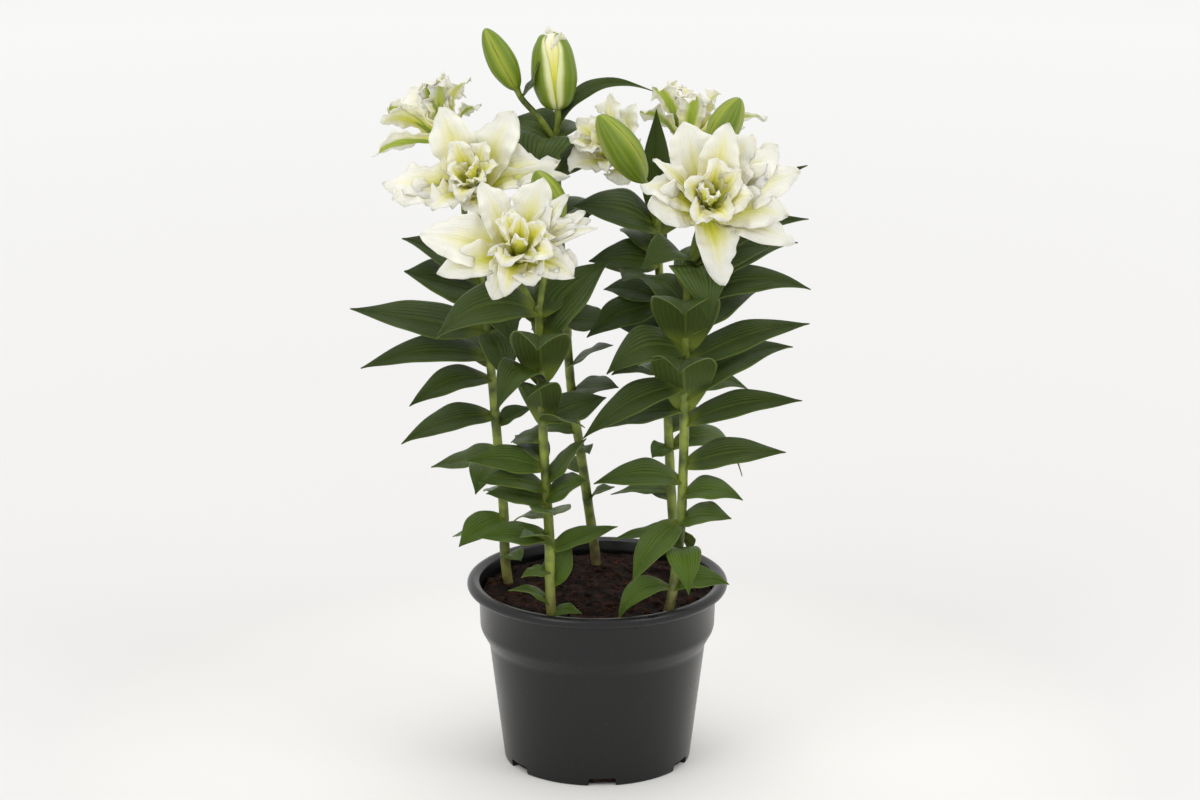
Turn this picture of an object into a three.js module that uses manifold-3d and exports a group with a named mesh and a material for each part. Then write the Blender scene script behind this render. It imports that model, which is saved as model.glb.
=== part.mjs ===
// Potted double oriental lily: five leafy stems with six open double blooms and five buds, grown from
// bulbs in the soil of a black nursery pot. Millimetres, +Z up, -Y towards the viewer, origin at the
// centre of the pot's foot.
import * as THREE from 'three';
import { mergeVertices } from 'three/addons/utils/BufferGeometryUtils.js';
import Module from 'manifold-3d';

const wasm = await Module();
wasm.setup();

// Gap kept between pieces that touch.
const gap = 0.3;

// Pot: radii and heights of the outside, from the foot up.
const pot = {
  footRadius: 75.4,
  neckRadius: 87.3,
  neckHeight: 98,
  shoulderRadius: 94.5,
  shoulderHeight: 111,
  collarRadius: 95.6,
  rollRadius: 4.5,
  rollCentre: 100.5,
  rollHeight: 147,
  wall: 2,
  floor: 2.5,
  sides: 28,
};

// Drainage slots, cut where the wall meets the floor.
const slot = { count: 6, firstAzimuth: 273, width: 22, height: 6.5, depth: 9 };

// Soil: mean height of its surface, and the size of its lumps.
const soil = { height: 140, lump: 1.5, rings: 3 };

// Bulbs: each lies under the foot of its stem, its nose up.
const bulb = { radius: 22, bottom: 30, nose: 76, ring: 50, sides: 10, scales: 5 };

// Stems rise from the bulbs, and stalks carry the blooms and buds from the top of each stem.
const stemRadius = 3.7;
const stemSteps = 11;
const stemSides = 6;
const stalkRadius = 2.5;
const stalkSteps = 5;

// Leaves and petals: thickness at the middle of the blade, and how far the edges rise beside it.
const leafBlade = { thickness: 1.6, fold: 0.12, wave: 1.2, turn: 33, columns: 2, segments: 4 };
const petalBlade = { thickness: 1.4, cup: 0.14, wave: 1.6, columns: 2, segments: 4, wideFrom: 24 };

// Flower tube: the claws of the petals rise from it, throatDepth below the middle of the open bloom.
const flower = { throatDepth: 42, baseRadius: 3.4, tubeRadius: 9, tubeLength: 26, sides: 8 };

// Stems: the points that each passes from its bulb to its top. Leaf rows are height on the stem, how
// far the tip lies right, back and up from there, width, and arch as a share of the length. Leaves
// that reach sideways turn their upper face to the viewer by leafBlade.turn, or by a seventh value.
const stems = {
  stem_back_left: {
    path: [[-72, 18, 140], [-76, 18, 208], [-81, 18, 270], [-86, 20, 330], [-92, 22, 385], [-95, 24, 412]],
    leaves: [
      [392, -62, -14, 40, 36, 0.08],
      [384, -61, -24, 24, 46, 0],
      [353, -109, 2, 17, 35, 0],
      [330, -103, -10, -6, 26, 0.1],
      [312, -65, -34, -12, 26, 0.13],
      [281, -75, -16, -18, 25, 0.11],
      [253, -55, 20, -21, 22, 0],
      [245, -18, -50, -13, 28, 0.14],
      [196, -36, -24, -17, 26, 0.1],
      [191, -43, 34, -23, 20, 0.04],
      [164, 12, -20, 2, 18, 0.1],
      [352, 16, -30, -34, 28, 0.2],
      [380, 24, -26, -34, 28, 0.2],
      [372, 30, 62, 22, 30, 0.1],
      [345, 36, 34, 24, 26, 0.1],
      [322, -38, 62, 14, 26, 0.1],
      [274, 30, 4, 14, 15, 0.08],
      [232, 22, 44, 4, 20, 0.1],
      [212, -14, 40, -6, 18, 0.1],
    ],
  },
  stem_front_left: {
    path: [[-36, -66, 140], [-38, -66, 210], [-42, -66, 280], [-44, -66, 340], [-46, -66, 399]],
    leaves: [
      [392, -80, -24, -14, 40, 0.2],
      [333, -2, -78, 52, 44, 0.26],
      [299, -12, -62, 42, 32, 0.28],
      [333, -34, -42, -8, 30, 0.42],
      [301, 33, -40, 10, 26, 0.08, -50],
      [370, 54, 26, 56, 42, 0.12],
      [304, 50, 26, 11, 30, 0.04],
      [252, 32, -8, 40, 22, 0.02],
      [264, -62, -4, 8, 26, 0.08],
      [247, -53, -22, 13, 24, 0.1],
      [237, -48, -4, 8, 24, 0.08],
      [230, 6, -48, 12, 30, 0.03],
      [287, -26, 22, -8, 24, 0.14],
      [241, 32, -26, 22, 26, 0.04, 70],
      [208, -56, -26, 8, 24, 0.04],
      [197, -23, -40, 24, 20, 0.12],
      [224, -28, 36, -15, 20, 0.08],
      [196, 54, 10, 17, 17, 0.05],
      [167, 17, 10, 32, 22, 0.05, 50],
      [178, -23, -18, 2, 13, 0.1],
      [147, -34, -12, 20, 12, 0.18],
      [144, 24, -8, 2, 12, 0.12],
      [388, 34, 46, 24, 30, 0.1],
      [383, -20, 58, 20, 30, 0.1],
      [270, -24, 44, 8, 22, 0.1],
    ],
  },
  stem_middle_back: {
    path: [[-1, 62, 140], [-8, 62, 196], [-14, 61, 240], [-21, 60, 290], [-26, 59, 360], [-31, 58, 440],
      [-34, 57, 508]],
    leaves: [
      [289, 38, -30, 13, 26, 0.06],
      [309, 35, -28, 28, 24, 0.06],
      [241, 8, -28, 4, 14, 0.1],
      [194, 22, -14, 18, 14, 0.1],
      [498, -36, 14, 15, 34, 0.15],
      [496, -16, -44, -18, 44, 0.36],
      [500, 20, 30, 4, 24, 0.2],
      [504, 78, 14, 33, 14, 0.28],
      [470, 50, 30, 10, 30, 0.2],
      [455, -44, 34, 6, 30, 0.2],
      [430, 20, -44, 4, 32, 0.25],
      [425, 40, 44, 6, 30, 0.2],
      [400, -40, 36, 4, 28, 0.2],
      [350, 38, -14, 0, 28, 0.06],
      [360, -34, -34, 6, 28, 0.2],
      [330, -30, 40, 0, 24, 0.2],
      [255, -34, 10, -4, 20, 0.2],
      [220, -26, 24, -8, 16, 0.2],
    ],
  },
  stem_front_right: {
    path: [[55, -64, 140], [65, -62, 204], [68, -59, 270], [69, -56, 330], [70, -52, 395], [74, -49, 432]],
    leaves: [
      [428, 91, 26, 72, 26, 0.12],
      [424, 92, 6, 38, 24, 0.12],
      [418, 72, 22, 22, 34, 0.1],
      [421, -38, -34, 12, 36, 0.3],
      [416, 14, -54, -18, 44, 0.4],
      [398, 88, 44, 35, 32, 0.16],
      [392, 98, 22, 9, 28, 0.16],
      [371, 58, 42, 24, 30, 0.1],
      [346, 98, 18, 29, 28, 0.07],
      [355, -3, -80, 56, 50, 0.26],
      [357, -62, -24, -11, 36, 0.2],
      [330, -80, -34, -33, 27, 0.1],
      [318, 86, 36, 33, 32, 0.15],
      [308, -5, -78, 56, 48, 0.26],
      [310, -66, 24, -23, 26, 0.08],
      [298, 93, 6, 18, 24, 0.08],
      [264, 81, -4, 13, 27, 0.07],
      [252, -70, -22, 5, 26, 0.1],
      [239, 48, -20, 4, 24, 0.16],
      [216, -54, 16, -18, 12, 0.02],
      [219, -38, -44, -36, 26, 0.1],
      [219, 40, -20, 9, 26, 0.1],
      [212, 9, 16, -25, 14, 0.1],
      [196, 8, -52, -20, 26, 0.24],
      [163, 46, -6, 6, 22, 0.18],
      [164, -42, -14, -23, 20, 0.28],
      [405, 20, 62, 16, 32, 0.2],
      [385, -36, 34, 22, 28, 0.2],
      [340, 16, 62, 10, 30, 0.2],
      [325, -36, 50, 6, 28, 0.2],
    ],
  },
  stem_back_right: {
    path: [[66, 32, 140], [61, 34, 193], [58, 36, 250], [55, 39, 320], [50, 42, 388], [47, 44, 440]],
    leaves: [
      [290, 66, 26, 0, 28, 0.2],
      [248, 60, 28, -32, 26, 0.3],
      [213, -49, 30, -13, 13, 0.06],
      [205, -26, 40, 4, 18, 0.06],
      [437, 0, 16, 88, 22, 0.05],
      [430, -68, -20, 24, 42, 0.1],
      [380, -31, -58, 24, 40, 0.12],
      [372, -46, 20, 3, 28, 0.12],
      [366, -60, -18, -20, 30, 0.12],
      [425, 40, 50, 10, 34, 0.2],
      [408, -30, 54, 6, 32, 0.2],
      [402, -56, -8, 4, 34, 0.06],
      [350, 56, 30, 12, 30, 0.2],
      [345, -40, 8, 4, 28, 0.12],
      [310, -44, -20, 6, 26, 0.2],
      [262, 30, 40, 8, 24, 0.1],
      [275, -30, 44, 0, 24, 0.2],
      [250, -14, -16, -4, 18, 0.1],
    ],
  },
};

// Blooms: middle of the open flower, the way it faces, and the points its stalk passes. Petal rows are
// how far the tip lies right, back and up from the middle, and the width.
const blooms = {
  bloom_back_left: {
    throat: [-100, -5, 483],
    faces: [-0.15, -0.7, 0.7],
    stem: 'stem_back_left',
    stalk: [],
    petals: [
      [-61, -12, -13, 24],
      [35, 22, 50, 36],
      [8, -30, -20, 24],
      [-69, 5, -5, 30],
      [-25, 22, 54, 32],
      [69, 14, 10, 34],
      [-29, -28, -17, 26],
      [13, 4, 31, 20],
      [-12, 2, 32, 20],
      [-6, -30, -10, 18],
    ],
  },
  bloom_upper_left: {
    throat: [-129, 45, 520],
    faces: [-0.5, 0.55, 0.65],
    stem: 'stem_back_left',
    stalk: [[-106, 38, 446]],
    petals: [
      [-50, -12, -27, 24],
      [37, 2, 11, 22],
      [-5, -16, 35, 22],
      [-21, 34, 17, 28],
      [-38, 6, 8, 32],
      [21, 34, 12, 26],
      [10, -20, 38, 22],
      [29, -2, 34, 16],
      [8, 12, 34, 22],
    ],
  },
  bloom_front_left: {
    throat: [-61, -85, 449],
    faces: [0.05, -0.75, 0.66],
    stem: 'stem_front_left',
    stalk: [[-54, -52, 402]],
    petals: [
      [-29, 12, 51, 26],
      [52, 6, 28, 18],
      [13, -30, -20, 26],
      [-76, 8, 10, 38],
      [19, 16, 53, 32],
      [46, -10, -10, 26],
      [-20, -22, -34, 26],
      [-63, -6, -18, 26],
      [22, -14, 22, 18],
      [3, -28, 33, 14],
    ],
  },
  bloom_front_right: {
    throat: [86, -75, 484],
    faces: [0.1, -0.8, 0.59],
    stem: 'stem_front_right',
    stalk: [],
    petals: [
      [-19, 20, 59, 38],
      [54, 14, 41, 36],
      [67, -8, -31, 26],
      [-47, -14, 0, 34],
      [11, -24, -60, 30],
      [71, 6, 22, 30],
      [15, 4, 62, 28],
      [33, 20, 49, 32],
      [-53, 0, 14, 26],
      [33, -16, 9, 26],
      [7, -14, 39, 20],
      [-11, -30, -8, 20],
    ],
  },
  bloom_back_right: {
    throat: [12, 28, 501],
    faces: [-0.55, -0.6, 0.58],
    stem: 'stem_back_right',
    stalk: [],
    petals: [
      [13, -22, -24, 26],
      [18, 22, 31, 24],
      [-35, -14, -14, 28],
      [22, 2, 4, 22],
      [-2, 16, 41, 26],
      [-31, -4, 6, 18],
      [-17, 20, 21, 24],
      [-29, 6, 18, 24],
      [-22, -20, 2, 18],
    ],
  },
  bloom_upper_right: {
    throat: [74, 72, 515],
    faces: [0.1, 0.6, 0.75],
    stem: 'stem_back_right',
    stalk: [],
    petals: [
      [-40, 4, 4, 24],
      [4, -26, 24, 22],
      [62, 0, 0, 26],
      [-8, 32, 6, 26],
      [-30, 0, 25, 26],
      [44, -12, -5, 22],
      [24, 24, 13, 26],
      [17, -14, 18, 24],
      [-5, 18, 20, 22],
    ],
  },
};

// Buds: base, tip and width, and the points its stalk passes. A bract is a leaf row without a height.
const buds = {
  bud_top_left: {
    base: [-64, 50, 544],
    tip: [-89, 50, 593],
    width: 22,
    stem: 'stem_middle_back',
    stalk: [[-50, 52, 530]],
    bract: [14, -10, 33, 14, -0.06, 55],
  },
  bud_opening: {
    base: [-32, 55, 527],
    tip: [-37, 55, 588],
    width: 36,
    stem: 'stem_middle_back',
    stalk: [],
  },
  bud_front_left: {
    base: [-29, -38, 459],
    tip: [-48, -36, 499],
    width: 24,
    stem: 'stem_front_left',
    stalk: [[-38, -46, 430]],
  },
  bud_front_right: {
    base: [90, -28, 514],
    tip: [111, -30, 556],
    width: 25,
    stem: 'stem_front_right',
    stalk: [[94, -18, 458]],
  },
  bud_back_right: {
    base: [36, -5, 483],
    tip: [1, -13, 538],
    width: 28,
    stem: 'stem_back_right',
    stalk: [[46, 14, 460]],
  },
};

// Small frilled petal tips that push out beside the opening bud: right, back and up, and width.
const openingFrills = [
  [-14, -8, 26, 12],
  [20, -4, 34, 12],
  [6, 16, 30, 12],
];

// Bud outlines: height as a share of the length, and radius as a share of the largest. Three ridges
// run up each bud.
const budSides = 9;
const budRidge = 0.07;
const closedOutline = [[0, 0.28], [0.12, 0.58], [0.36, 0.98], [0.6, 0.94], [0.82, 0.6], [0.96, 0.22]];
const openingOutline = [[0, 0.3], [0.14, 0.62], [0.34, 0.98], [0.52, 0.93], [0.74, 0.62], [0.95, 0.3]];

const finishes = {
  pot: new THREE.MeshStandardMaterial({ color: '#333234', roughness: 0.45, metalness: 0 }),
  soil: new THREE.MeshStandardMaterial({ color: '#3a2319', roughness: 0.95, metalness: 0 }),
  bulb: new THREE.MeshStandardMaterial({ color: '#d8cfae', roughness: 0.7, metalness: 0 }),
  leaf: new THREE.MeshStandardMaterial({ color: '#38502a', roughness: 0.4, metalness: 0 }),
  petal: new THREE.MeshStandardMaterial({ color: '#f3f0d8', roughness: 0.55, metalness: 0 }),
  bud: new THREE.MeshStandardMaterial({ color: '#7fa23a', roughness: 0.45, metalness: 0 }),
};

const up = new THREE.Vector3(0, 0, 1);
const vector = (point) => new THREE.Vector3(...point);

// A closed geometry as a solid that can be joined and cut.
function solidOf(geometry) {
  const bare = new THREE.BufferGeometry();
  bare.setAttribute('position', geometry.getAttribute('position'));
  bare.setIndex(geometry.index);
  const merged = mergeVertices(bare, 1e-4);
  const corners = merged.index.array;
  const triangles = [];
  for (let i = 0; i < corners.length; i += 3) {
    const [a, b, c] = [corners[i], corners[i + 1], corners[i + 2]];
    if (a !== b && b !== c && c !== a) {
      triangles.push(a, b, c);
    }
  }
  return new wasm.Manifold(new wasm.Mesh({
    numProp: 3,
    vertProperties: new Float32Array(merged.getAttribute('position').array),
    triVerts: new Uint32Array(triangles),
  }));
}

// One solid of several that reach into each other.
function join(solids) {
  return solids.reduce((whole, solid) => whole.add(solid));
}

// The largest body of a join, without loose scraps.
function mainBody(solid) {
  return solid.decompose().reduce((best, body) => (body.volume() > best.volume() ? body : best));
}

function meshOf(name, solid, finish) {
  const { vertProperties, triVerts } = solid.getMesh();
  const geometry = new THREE.BufferGeometry();
  geometry.setAttribute('position', new THREE.Float32BufferAttribute(vertProperties, 3));
  geometry.setIndex(new THREE.Uint32BufferAttribute(triVerts, 1));
  geometry.computeVertexNormals();
  const mesh = new THREE.Mesh(geometry, finish);
  mesh.name = name;
  return mesh;
}

// A round solid from a profile of [radius, height] points, turned about +Z.
function turned(profile, sides) {
  const points = profile.map(([radius, height]) => new THREE.Vector2(radius, height));
  const geometry = new THREE.LatheGeometry(points, sides);
  geometry.rotateX(Math.PI / 2);
  return geometry;
}

// Stands a geometry made along +Z at a point, along a direction.
function stood(geometry, point, direction) {
  const turn = new THREE.Quaternion().setFromUnitVectors(up, direction);
  geometry.applyQuaternion(turn);
  geometry.translate(point.x, point.y, point.z);
  return geometry;
}

// A round bar along a smooth line through the points.
function tube(points, radius, steps) {
  const circle = new THREE.Shape();
  circle.absarc(0, 0, radius, 0, 2 * Math.PI);
  const path = new THREE.CatmullRomCurve3(points, false, 'catmullrom', 0.5);
  const settings = { steps, curveSegments: stemSides / 2, bevelEnabled: false, extrudePath: path };
  return solidOf(new THREE.ExtrudeGeometry(circle, settings));
}

// A leaf or petal: a thin blade along a midline. Its faces are split into the same triangles and meet
// at the edge. rise(x, t) is how far the blade stands off its midline, x from -1 to 1 across.
function blade({ midline, side, width, outline, thickness, rise, columns, segments }) {
  const positions = [];
  const faceUp = [];
  const faceDown = [];
  for (let i = 0; i <= segments; i += 1) {
    const t = i / segments;
    const centre = midline.getPoint(t);
    const normal = new THREE.Vector3().crossVectors(side, midline.getTangent(t)).normalize();
    faceUp.push([]);
    faceDown.push([]);
    for (let j = 0; j <= columns; j += 1) {
      const x = (2 * j) / columns - 1;
      const onTip = i === segments;
      if (onTip && j > 0) {
        faceUp[i].push(faceUp[i][0]);
        faceDown[i].push(faceUp[i][0]);
        continue;
      }
      const across = onTip ? 0 : x * (width / 2) * outline(t);
      const lift = onTip ? 0 : rise(x, t);
      const point = centre.clone().addScaledVector(side, across).addScaledVector(normal, lift);
      const onEdge = i === 0 || onTip || j === 0 || j === columns;
      const half = onEdge ? 0 : thickness / 2;
      faceUp[i].push(positions.length / 3);
      positions.push(...point.clone().addScaledVector(normal, half));
      if (onEdge) {
        faceDown[i].push(faceUp[i][j]);
      } else {
        faceDown[i].push(positions.length / 3);
        positions.push(...point.clone().addScaledVector(normal, -half));
      }
    }
  }
  const triangles = [];
  for (let i = 0; i < segments; i += 1) {
    for (let j = 0; j < columns; j += 1) {
      for (const [face, flip] of [[faceUp, false], [faceDown, true]]) {
        const [a, b, c, d] = [face[i][j], face[i][j + 1], face[i + 1][j + 1], face[i + 1][j]];
        triangles.push(...(flip ? [a, c, b] : [a, b, c]));
        triangles.push(...(flip ? [a, d, c] : [a, c, d]));
      }
    }
  }
  const geometry = new THREE.BufferGeometry();
  geometry.setAttribute('position', new THREE.Float32BufferAttribute(positions, 3));
  geometry.setIndex(triangles);
  return solidOf(geometry);
}

// Where a stem is at a height, between the points it passes.
function stemAt(path, height) {
  const next = Math.max(1, path.findIndex((point) => point[2] >= height));
  const [low, high] = [vector(path[next - 1]), vector(path[next])];
  return low.lerp(high, (height - path[next - 1][2]) / (high.z - path[next - 1][2]));
}

// Leaf outline: a narrow foot, widest a little below the middle, and a long point.
const leafOutline = (t) => 0.16 * (1 - t) + Math.sin(Math.PI * t ** 0.85) ** 0.9;

// Petal outline: a narrow claw, widest above the middle.
const petalOutline = (t) => 0.2 * (1 - t) + Math.sin(Math.PI * t ** 1.5) ** 0.65;

// A leaf from its root, on the middle of a stem or stalk, in an arch to its tip.
function leaf(root, shape, index) {
  const [right, back, rise, width, arch, turn = leafBlade.turn] = shape;
  const reach = new THREE.Vector3(right, back, rise);
  const along = reach.clone().normalize();
  const lift = up.clone().addScaledVector(along, -along.z).normalize();
  const sideways = right / Math.hypot(right, back);
  const roll = THREE.MathUtils.degToRad(turn * sideways * Math.abs(sideways));
  const side = new THREE.Vector3().crossVectors(along, lift).multiplyScalar(Math.cos(roll));
  side.addScaledVector(lift, -Math.sin(roll));
  const crown = root.clone().addScaledVector(reach, 0.45);
  crown.addScaledVector(lift, 2 * arch * reach.length());
  const { thickness, fold, wave, columns, segments } = leafBlade;
  return blade({
    midline: new THREE.QuadraticBezierCurve3(root, crown, root.clone().add(reach)),
    side,
    width,
    outline: leafOutline,
    thickness,
    rise: (x, t) => Math.abs(x) * (fold * (width / 2) * leafOutline(t) + wave * Math.sin(9 * t + index)),
    columns,
    segments,
  });
}

// A petal from the flower tube over its bend to its tip. layer runs from 0 for the outermost petal to 1
// for the innermost, which stands closer to the axis.
function petal(base, throat, axis, row, layer) {
  const [right, back, rise, width] = row;
  const { tubeLength } = flower;
  const { thickness, cup, wave, columns, segments, wideFrom } = petalBlade;
  const reach = new THREE.Vector3(right, back, rise);
  const outward = reach.clone().addScaledVector(axis, -reach.dot(axis));
  const spread = outward.length();
  outward.normalize();
  const place = (origin, forward, out) => (
    origin.clone().addScaledVector(axis, forward).addScaledVector(outward, out)
  );
  const start = place(base, tubeLength - 5, 3 - 2 * layer);
  const claw = place(base, tubeLength + 8 * layer, 14 - 9 * layer);
  const bend = place(throat, 20 * layer + 0.08 * spread, 0).addScaledVector(reach, 0.5);
  const ruffle = (x, t) => wave * t * Math.sin(11 * t + 2 * x + 9 * layer);
  return blade({
    midline: new THREE.CubicBezierCurve3(start, claw, bend, throat.clone().add(reach)),
    side: new THREE.Vector3().crossVectors(outward, axis),
    width,
    outline: petalOutline,
    thickness,
    rise: (x, t) => x * x * (cup * (width / 2) * petalOutline(t) + ruffle(x, t)),
    columns,
    segments: width >= wideFrom ? segments + 1 : segments,
  });
}

// Where a bloom's base and a bud's base meet their stalk, and the way they face.
function seatOf(head) {
  if (head.throat) {
    const axis = vector(head.faces).normalize();
    return { axis, base: vector(head.throat).addScaledVector(axis, -flower.throatDepth) };
  }
  return { axis: vector(head.tip).sub(vector(head.base)).normalize(), base: vector(head.base) };
}

function bloom(spec) {
  const { axis, base } = seatOf(spec);
  const throat = vector(spec.throat);
  const { baseRadius, tubeRadius, tubeLength, sides } = flower;
  const profile = [
    [0, 0],
    [baseRadius, 0],
    [0.8 * tubeRadius, 0.5 * tubeLength],
    [tubeRadius, tubeLength],
    [0, tubeLength + 3],
  ];
  const last = spec.petals.length - 1;
  const petals = spec.petals.map((row, index) => petal(base, throat, axis, row, index / last));
  return mainBody(join([solidOf(stood(turned(profile, sides), base, axis)), ...petals]));
}

// A closed bud: three rounded ridges, one for each outer petal, drawn in to a blunt tip.
function bud(spec, outline) {
  const { axis, base } = seatOf(spec);
  const length = vector(spec.tip).distanceTo(base);
  const profile = outline.map(([t, share]) => [share * (spec.width / 2), t * length]);
  const geometry = turned([[0, 0], ...profile, [0, length]], budSides);
  const position = geometry.getAttribute('position');
  for (let i = 0; i < position.count; i += 1) {
    const [x, y] = [position.getX(i), position.getY(i)];
    const ridge = 1 + budRidge * Math.cos(3 * Math.atan2(y, x));
    position.setXY(i, x * ridge, y * ridge);
  }
  return solidOf(stood(geometry, base, axis));
}

function openingBud(spec) {
  const { axis, base } = seatOf(spec);
  const frills = openingFrills.map((row, index) => {
    const middle = base.clone().addScaledVector(axis, 8);
    return petal(base, middle, axis, row, index / openingFrills.length);
  });
  return mainBody(join([bud(spec, openingOutline), ...frills]));
}

// A stalk from the top of its stem to the seat of its bloom or bud, which it meets square.
function stalk(top, head) {
  const { axis, base } = seatOf(head);
  const end = base.clone().addScaledVector(axis, -gap);
  const below = base.clone().addScaledVector(axis, -10);
  const start = top.clone().addScaledVector(up, -8);
  return tube([start, ...head.stalk.map(vector), below, end], stalkRadius, stalkSteps);
}

// A small leaf on the stalk, just below the seat of a bud.
function bract(head) {
  const { axis, base } = seatOf(head);
  return leaf(base.addScaledVector(axis, -9), head.bract, 0);
}

// The top of each bulb, where the foot of its stem rests.
function noseOf(path) {
  const [x, y] = path[0];
  const share = bulb.ring / Math.hypot(x, y);
  return new THREE.Vector3(x * share, y * share, bulb.nose);
}

// A stem's line from above the nose of its bulb through the soil to its top.
function stemLine(path) {
  const nose = noseOf(path);
  const foot = nose.clone().addScaledVector(up, gap);
  return [foot, nose.clone().addScaledVector(up, 14), ...path.map(vector)];
}

function leafyStem(name, { path, leaves }) {
  const heads = [...Object.values(blooms), ...Object.values(buds)].filter((head) => head.stem === name);
  const top = vector(path[path.length - 1]);
  return mainBody(join([
    tube(stemLine(path), stemRadius, stemSteps),
    ...heads.map((head) => stalk(top, head)),
    ...leaves.map(([height, ...shape], index) => leaf(stemAt(path, height), shape, index)),
    ...heads.filter((head) => head.bract).map(bract),
  ]));
}

// The outline of a bulb, or of its pocket when grow is the gap round it.
function bulbProfile(grow) {
  const half = (bulb.nose - bulb.bottom) / 2;
  const middle = bulb.bottom + half;
  const profile = [[0, bulb.bottom - grow]];
  for (const angle of [-60, -20, 20, 55]) {
    const turn = THREE.MathUtils.degToRad(angle);
    profile.push([(bulb.radius + grow) * Math.cos(turn), middle + (half + grow) * Math.sin(turn)]);
  }
  return [...profile, [stemRadius + 1 + grow, bulb.nose + grow], [0, bulb.nose + grow]];
}

// A scaly bulb: the scales stand out as low ribs.
function scalyBulb(path, grow) {
  const nose = noseOf(path);
  const geometry = turned(bulbProfile(grow), bulb.sides);
  const position = geometry.getAttribute('position');
  for (let i = 0; i < position.count; i += 1) {
    const [x, y] = [position.getX(i), position.getY(i)];
    const scale = 1 + 0.05 * Math.cos(bulb.scales * Math.atan2(y, x));
    position.setXY(i, x * scale, y * scale);
  }
  geometry.translate(nose.x, nose.y, 0);
  return solidOf(geometry);
}

// Points on a round arc, from one angle to another in degrees.
function arc(radius, height, size, from, to, steps) {
  return Array.from({ length: steps + 1 }, (_, i) => {
    const angle = THREE.MathUtils.degToRad(from + ((to - from) * i) / steps);
    return [radius + size * Math.cos(angle), height + size * Math.sin(angle)];
  });
}

function drainageSlot(index) {
  const shape = new THREE.BoxGeometry(2 * slot.depth, slot.width, 2 * slot.height);
  shape.translate(pot.footRadius + 0.4, 0, 0);
  shape.rotateZ(THREE.MathUtils.degToRad(slot.firstAzimuth + (360 * index) / slot.count));
  return solidOf(shape);
}

function nurseryPot() {
  const { wall, floor } = pot;
  const rollFoot = pot.rollHeight - 3.4;
  const profile = [
    [0, 0],
    [pot.footRadius - 1, 0],
    [pot.footRadius, 1.5],
    [pot.neckRadius, pot.neckHeight],
    [pot.shoulderRadius, pot.shoulderHeight],
    [pot.collarRadius, rollFoot],
    ...arc(pot.rollCentre, pot.rollHeight, pot.rollRadius, -125, 110, 5),
    [pot.collarRadius - 0.4, pot.rollHeight + 3.4],
    [pot.collarRadius - wall, rollFoot],
    [pot.shoulderRadius - wall, pot.shoulderHeight + 0.5],
    [pot.neckRadius - wall, pot.neckHeight + 0.5],
    [pot.footRadius - wall, floor],
    [0, floor],
  ];
  let body = solidOf(turned(profile, pot.sides));
  for (let i = 0; i < slot.count; i += 1) {
    body = body.subtract(drainageSlot(i));
  }
  return body;
}

// Height of the soil at a place: low lumps, a little lower round the edge.
function soilHeight(x, y) {
  const lumps = Math.sin(0.11 * x + 1) * Math.cos(0.13 * y) + 0.6 * Math.sin(0.27 * x + 0.21 * y + 2);
  const edge = Math.hypot(x, y) / pot.collarRadius;
  return soil.height + soil.lump * lumps - 1.5 * edge ** 4;
}

function pottingSoil() {
  const { wall, floor } = pot;
  const clear = wall + gap;
  const rim = pot.collarRadius - 0.6 - clear;
  const surface = Array.from({ length: soil.rings }, (_, i) => [rim * (1 - i / soil.rings), soil.height]);
  const profile = [
    [0, floor + gap],
    [pot.footRadius - clear - slot.depth, floor + gap],
    [pot.footRadius - clear, floor + gap],
    [pot.neckRadius - clear, pot.neckHeight + 0.6],
    [pot.shoulderRadius - clear, pot.shoulderHeight + 0.6],
    ...surface,
    [0, soil.height],
  ];
  const geometry = turned(profile, pot.sides);
  const position = geometry.getAttribute('position');
  for (let i = 0; i < position.count; i += 1) {
    if (position.getZ(i) > soil.height - 1) {
      position.setZ(i, soilHeight(position.getX(i), position.getY(i)));
    }
  }
  let body = solidOf(geometry);
  const hole = stemRadius + gap;
  for (const { path } of Object.values(stems)) {
    const nose = noseOf(path);
    const plug = turned([[0, -3], [hole, -3], [hole, 1], [0, 1]], stemSides);
    body = body.subtract(scalyBulb(path, gap));
    body = body.subtract(solidOf(stood(plug, nose, up)));
    body = body.subtract(tube(stemLine(path), hole, stemSteps));
  }
  return mainBody(body);
}

const lily = new THREE.Group();
lily.add(meshOf('pot', nurseryPot(), finishes.pot));
lily.add(meshOf('soil', pottingSoil(), finishes.soil));
for (const [name, stem] of Object.entries(stems)) {
  lily.add(meshOf(name.replace('stem', 'bulb'), scalyBulb(stem.path, 0), finishes.bulb));
  lily.add(meshOf(name, leafyStem(name, stem), finishes.leaf));
}
for (const [name, spec] of Object.entries(blooms)) {
  lily.add(meshOf(name, bloom(spec), finishes.petal));
}
for (const [name, spec] of Object.entries(buds)) {
  const solid = name === 'bud_opening' ? openingBud(spec) : bud(spec, closedOutline);
  lily.add(meshOf(name, solid, finishes.bud));
}

export default lily;
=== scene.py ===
import math
import random

import bmesh
import bpy
from mathutils import Matrix, Quaternion, Vector, noise


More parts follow.
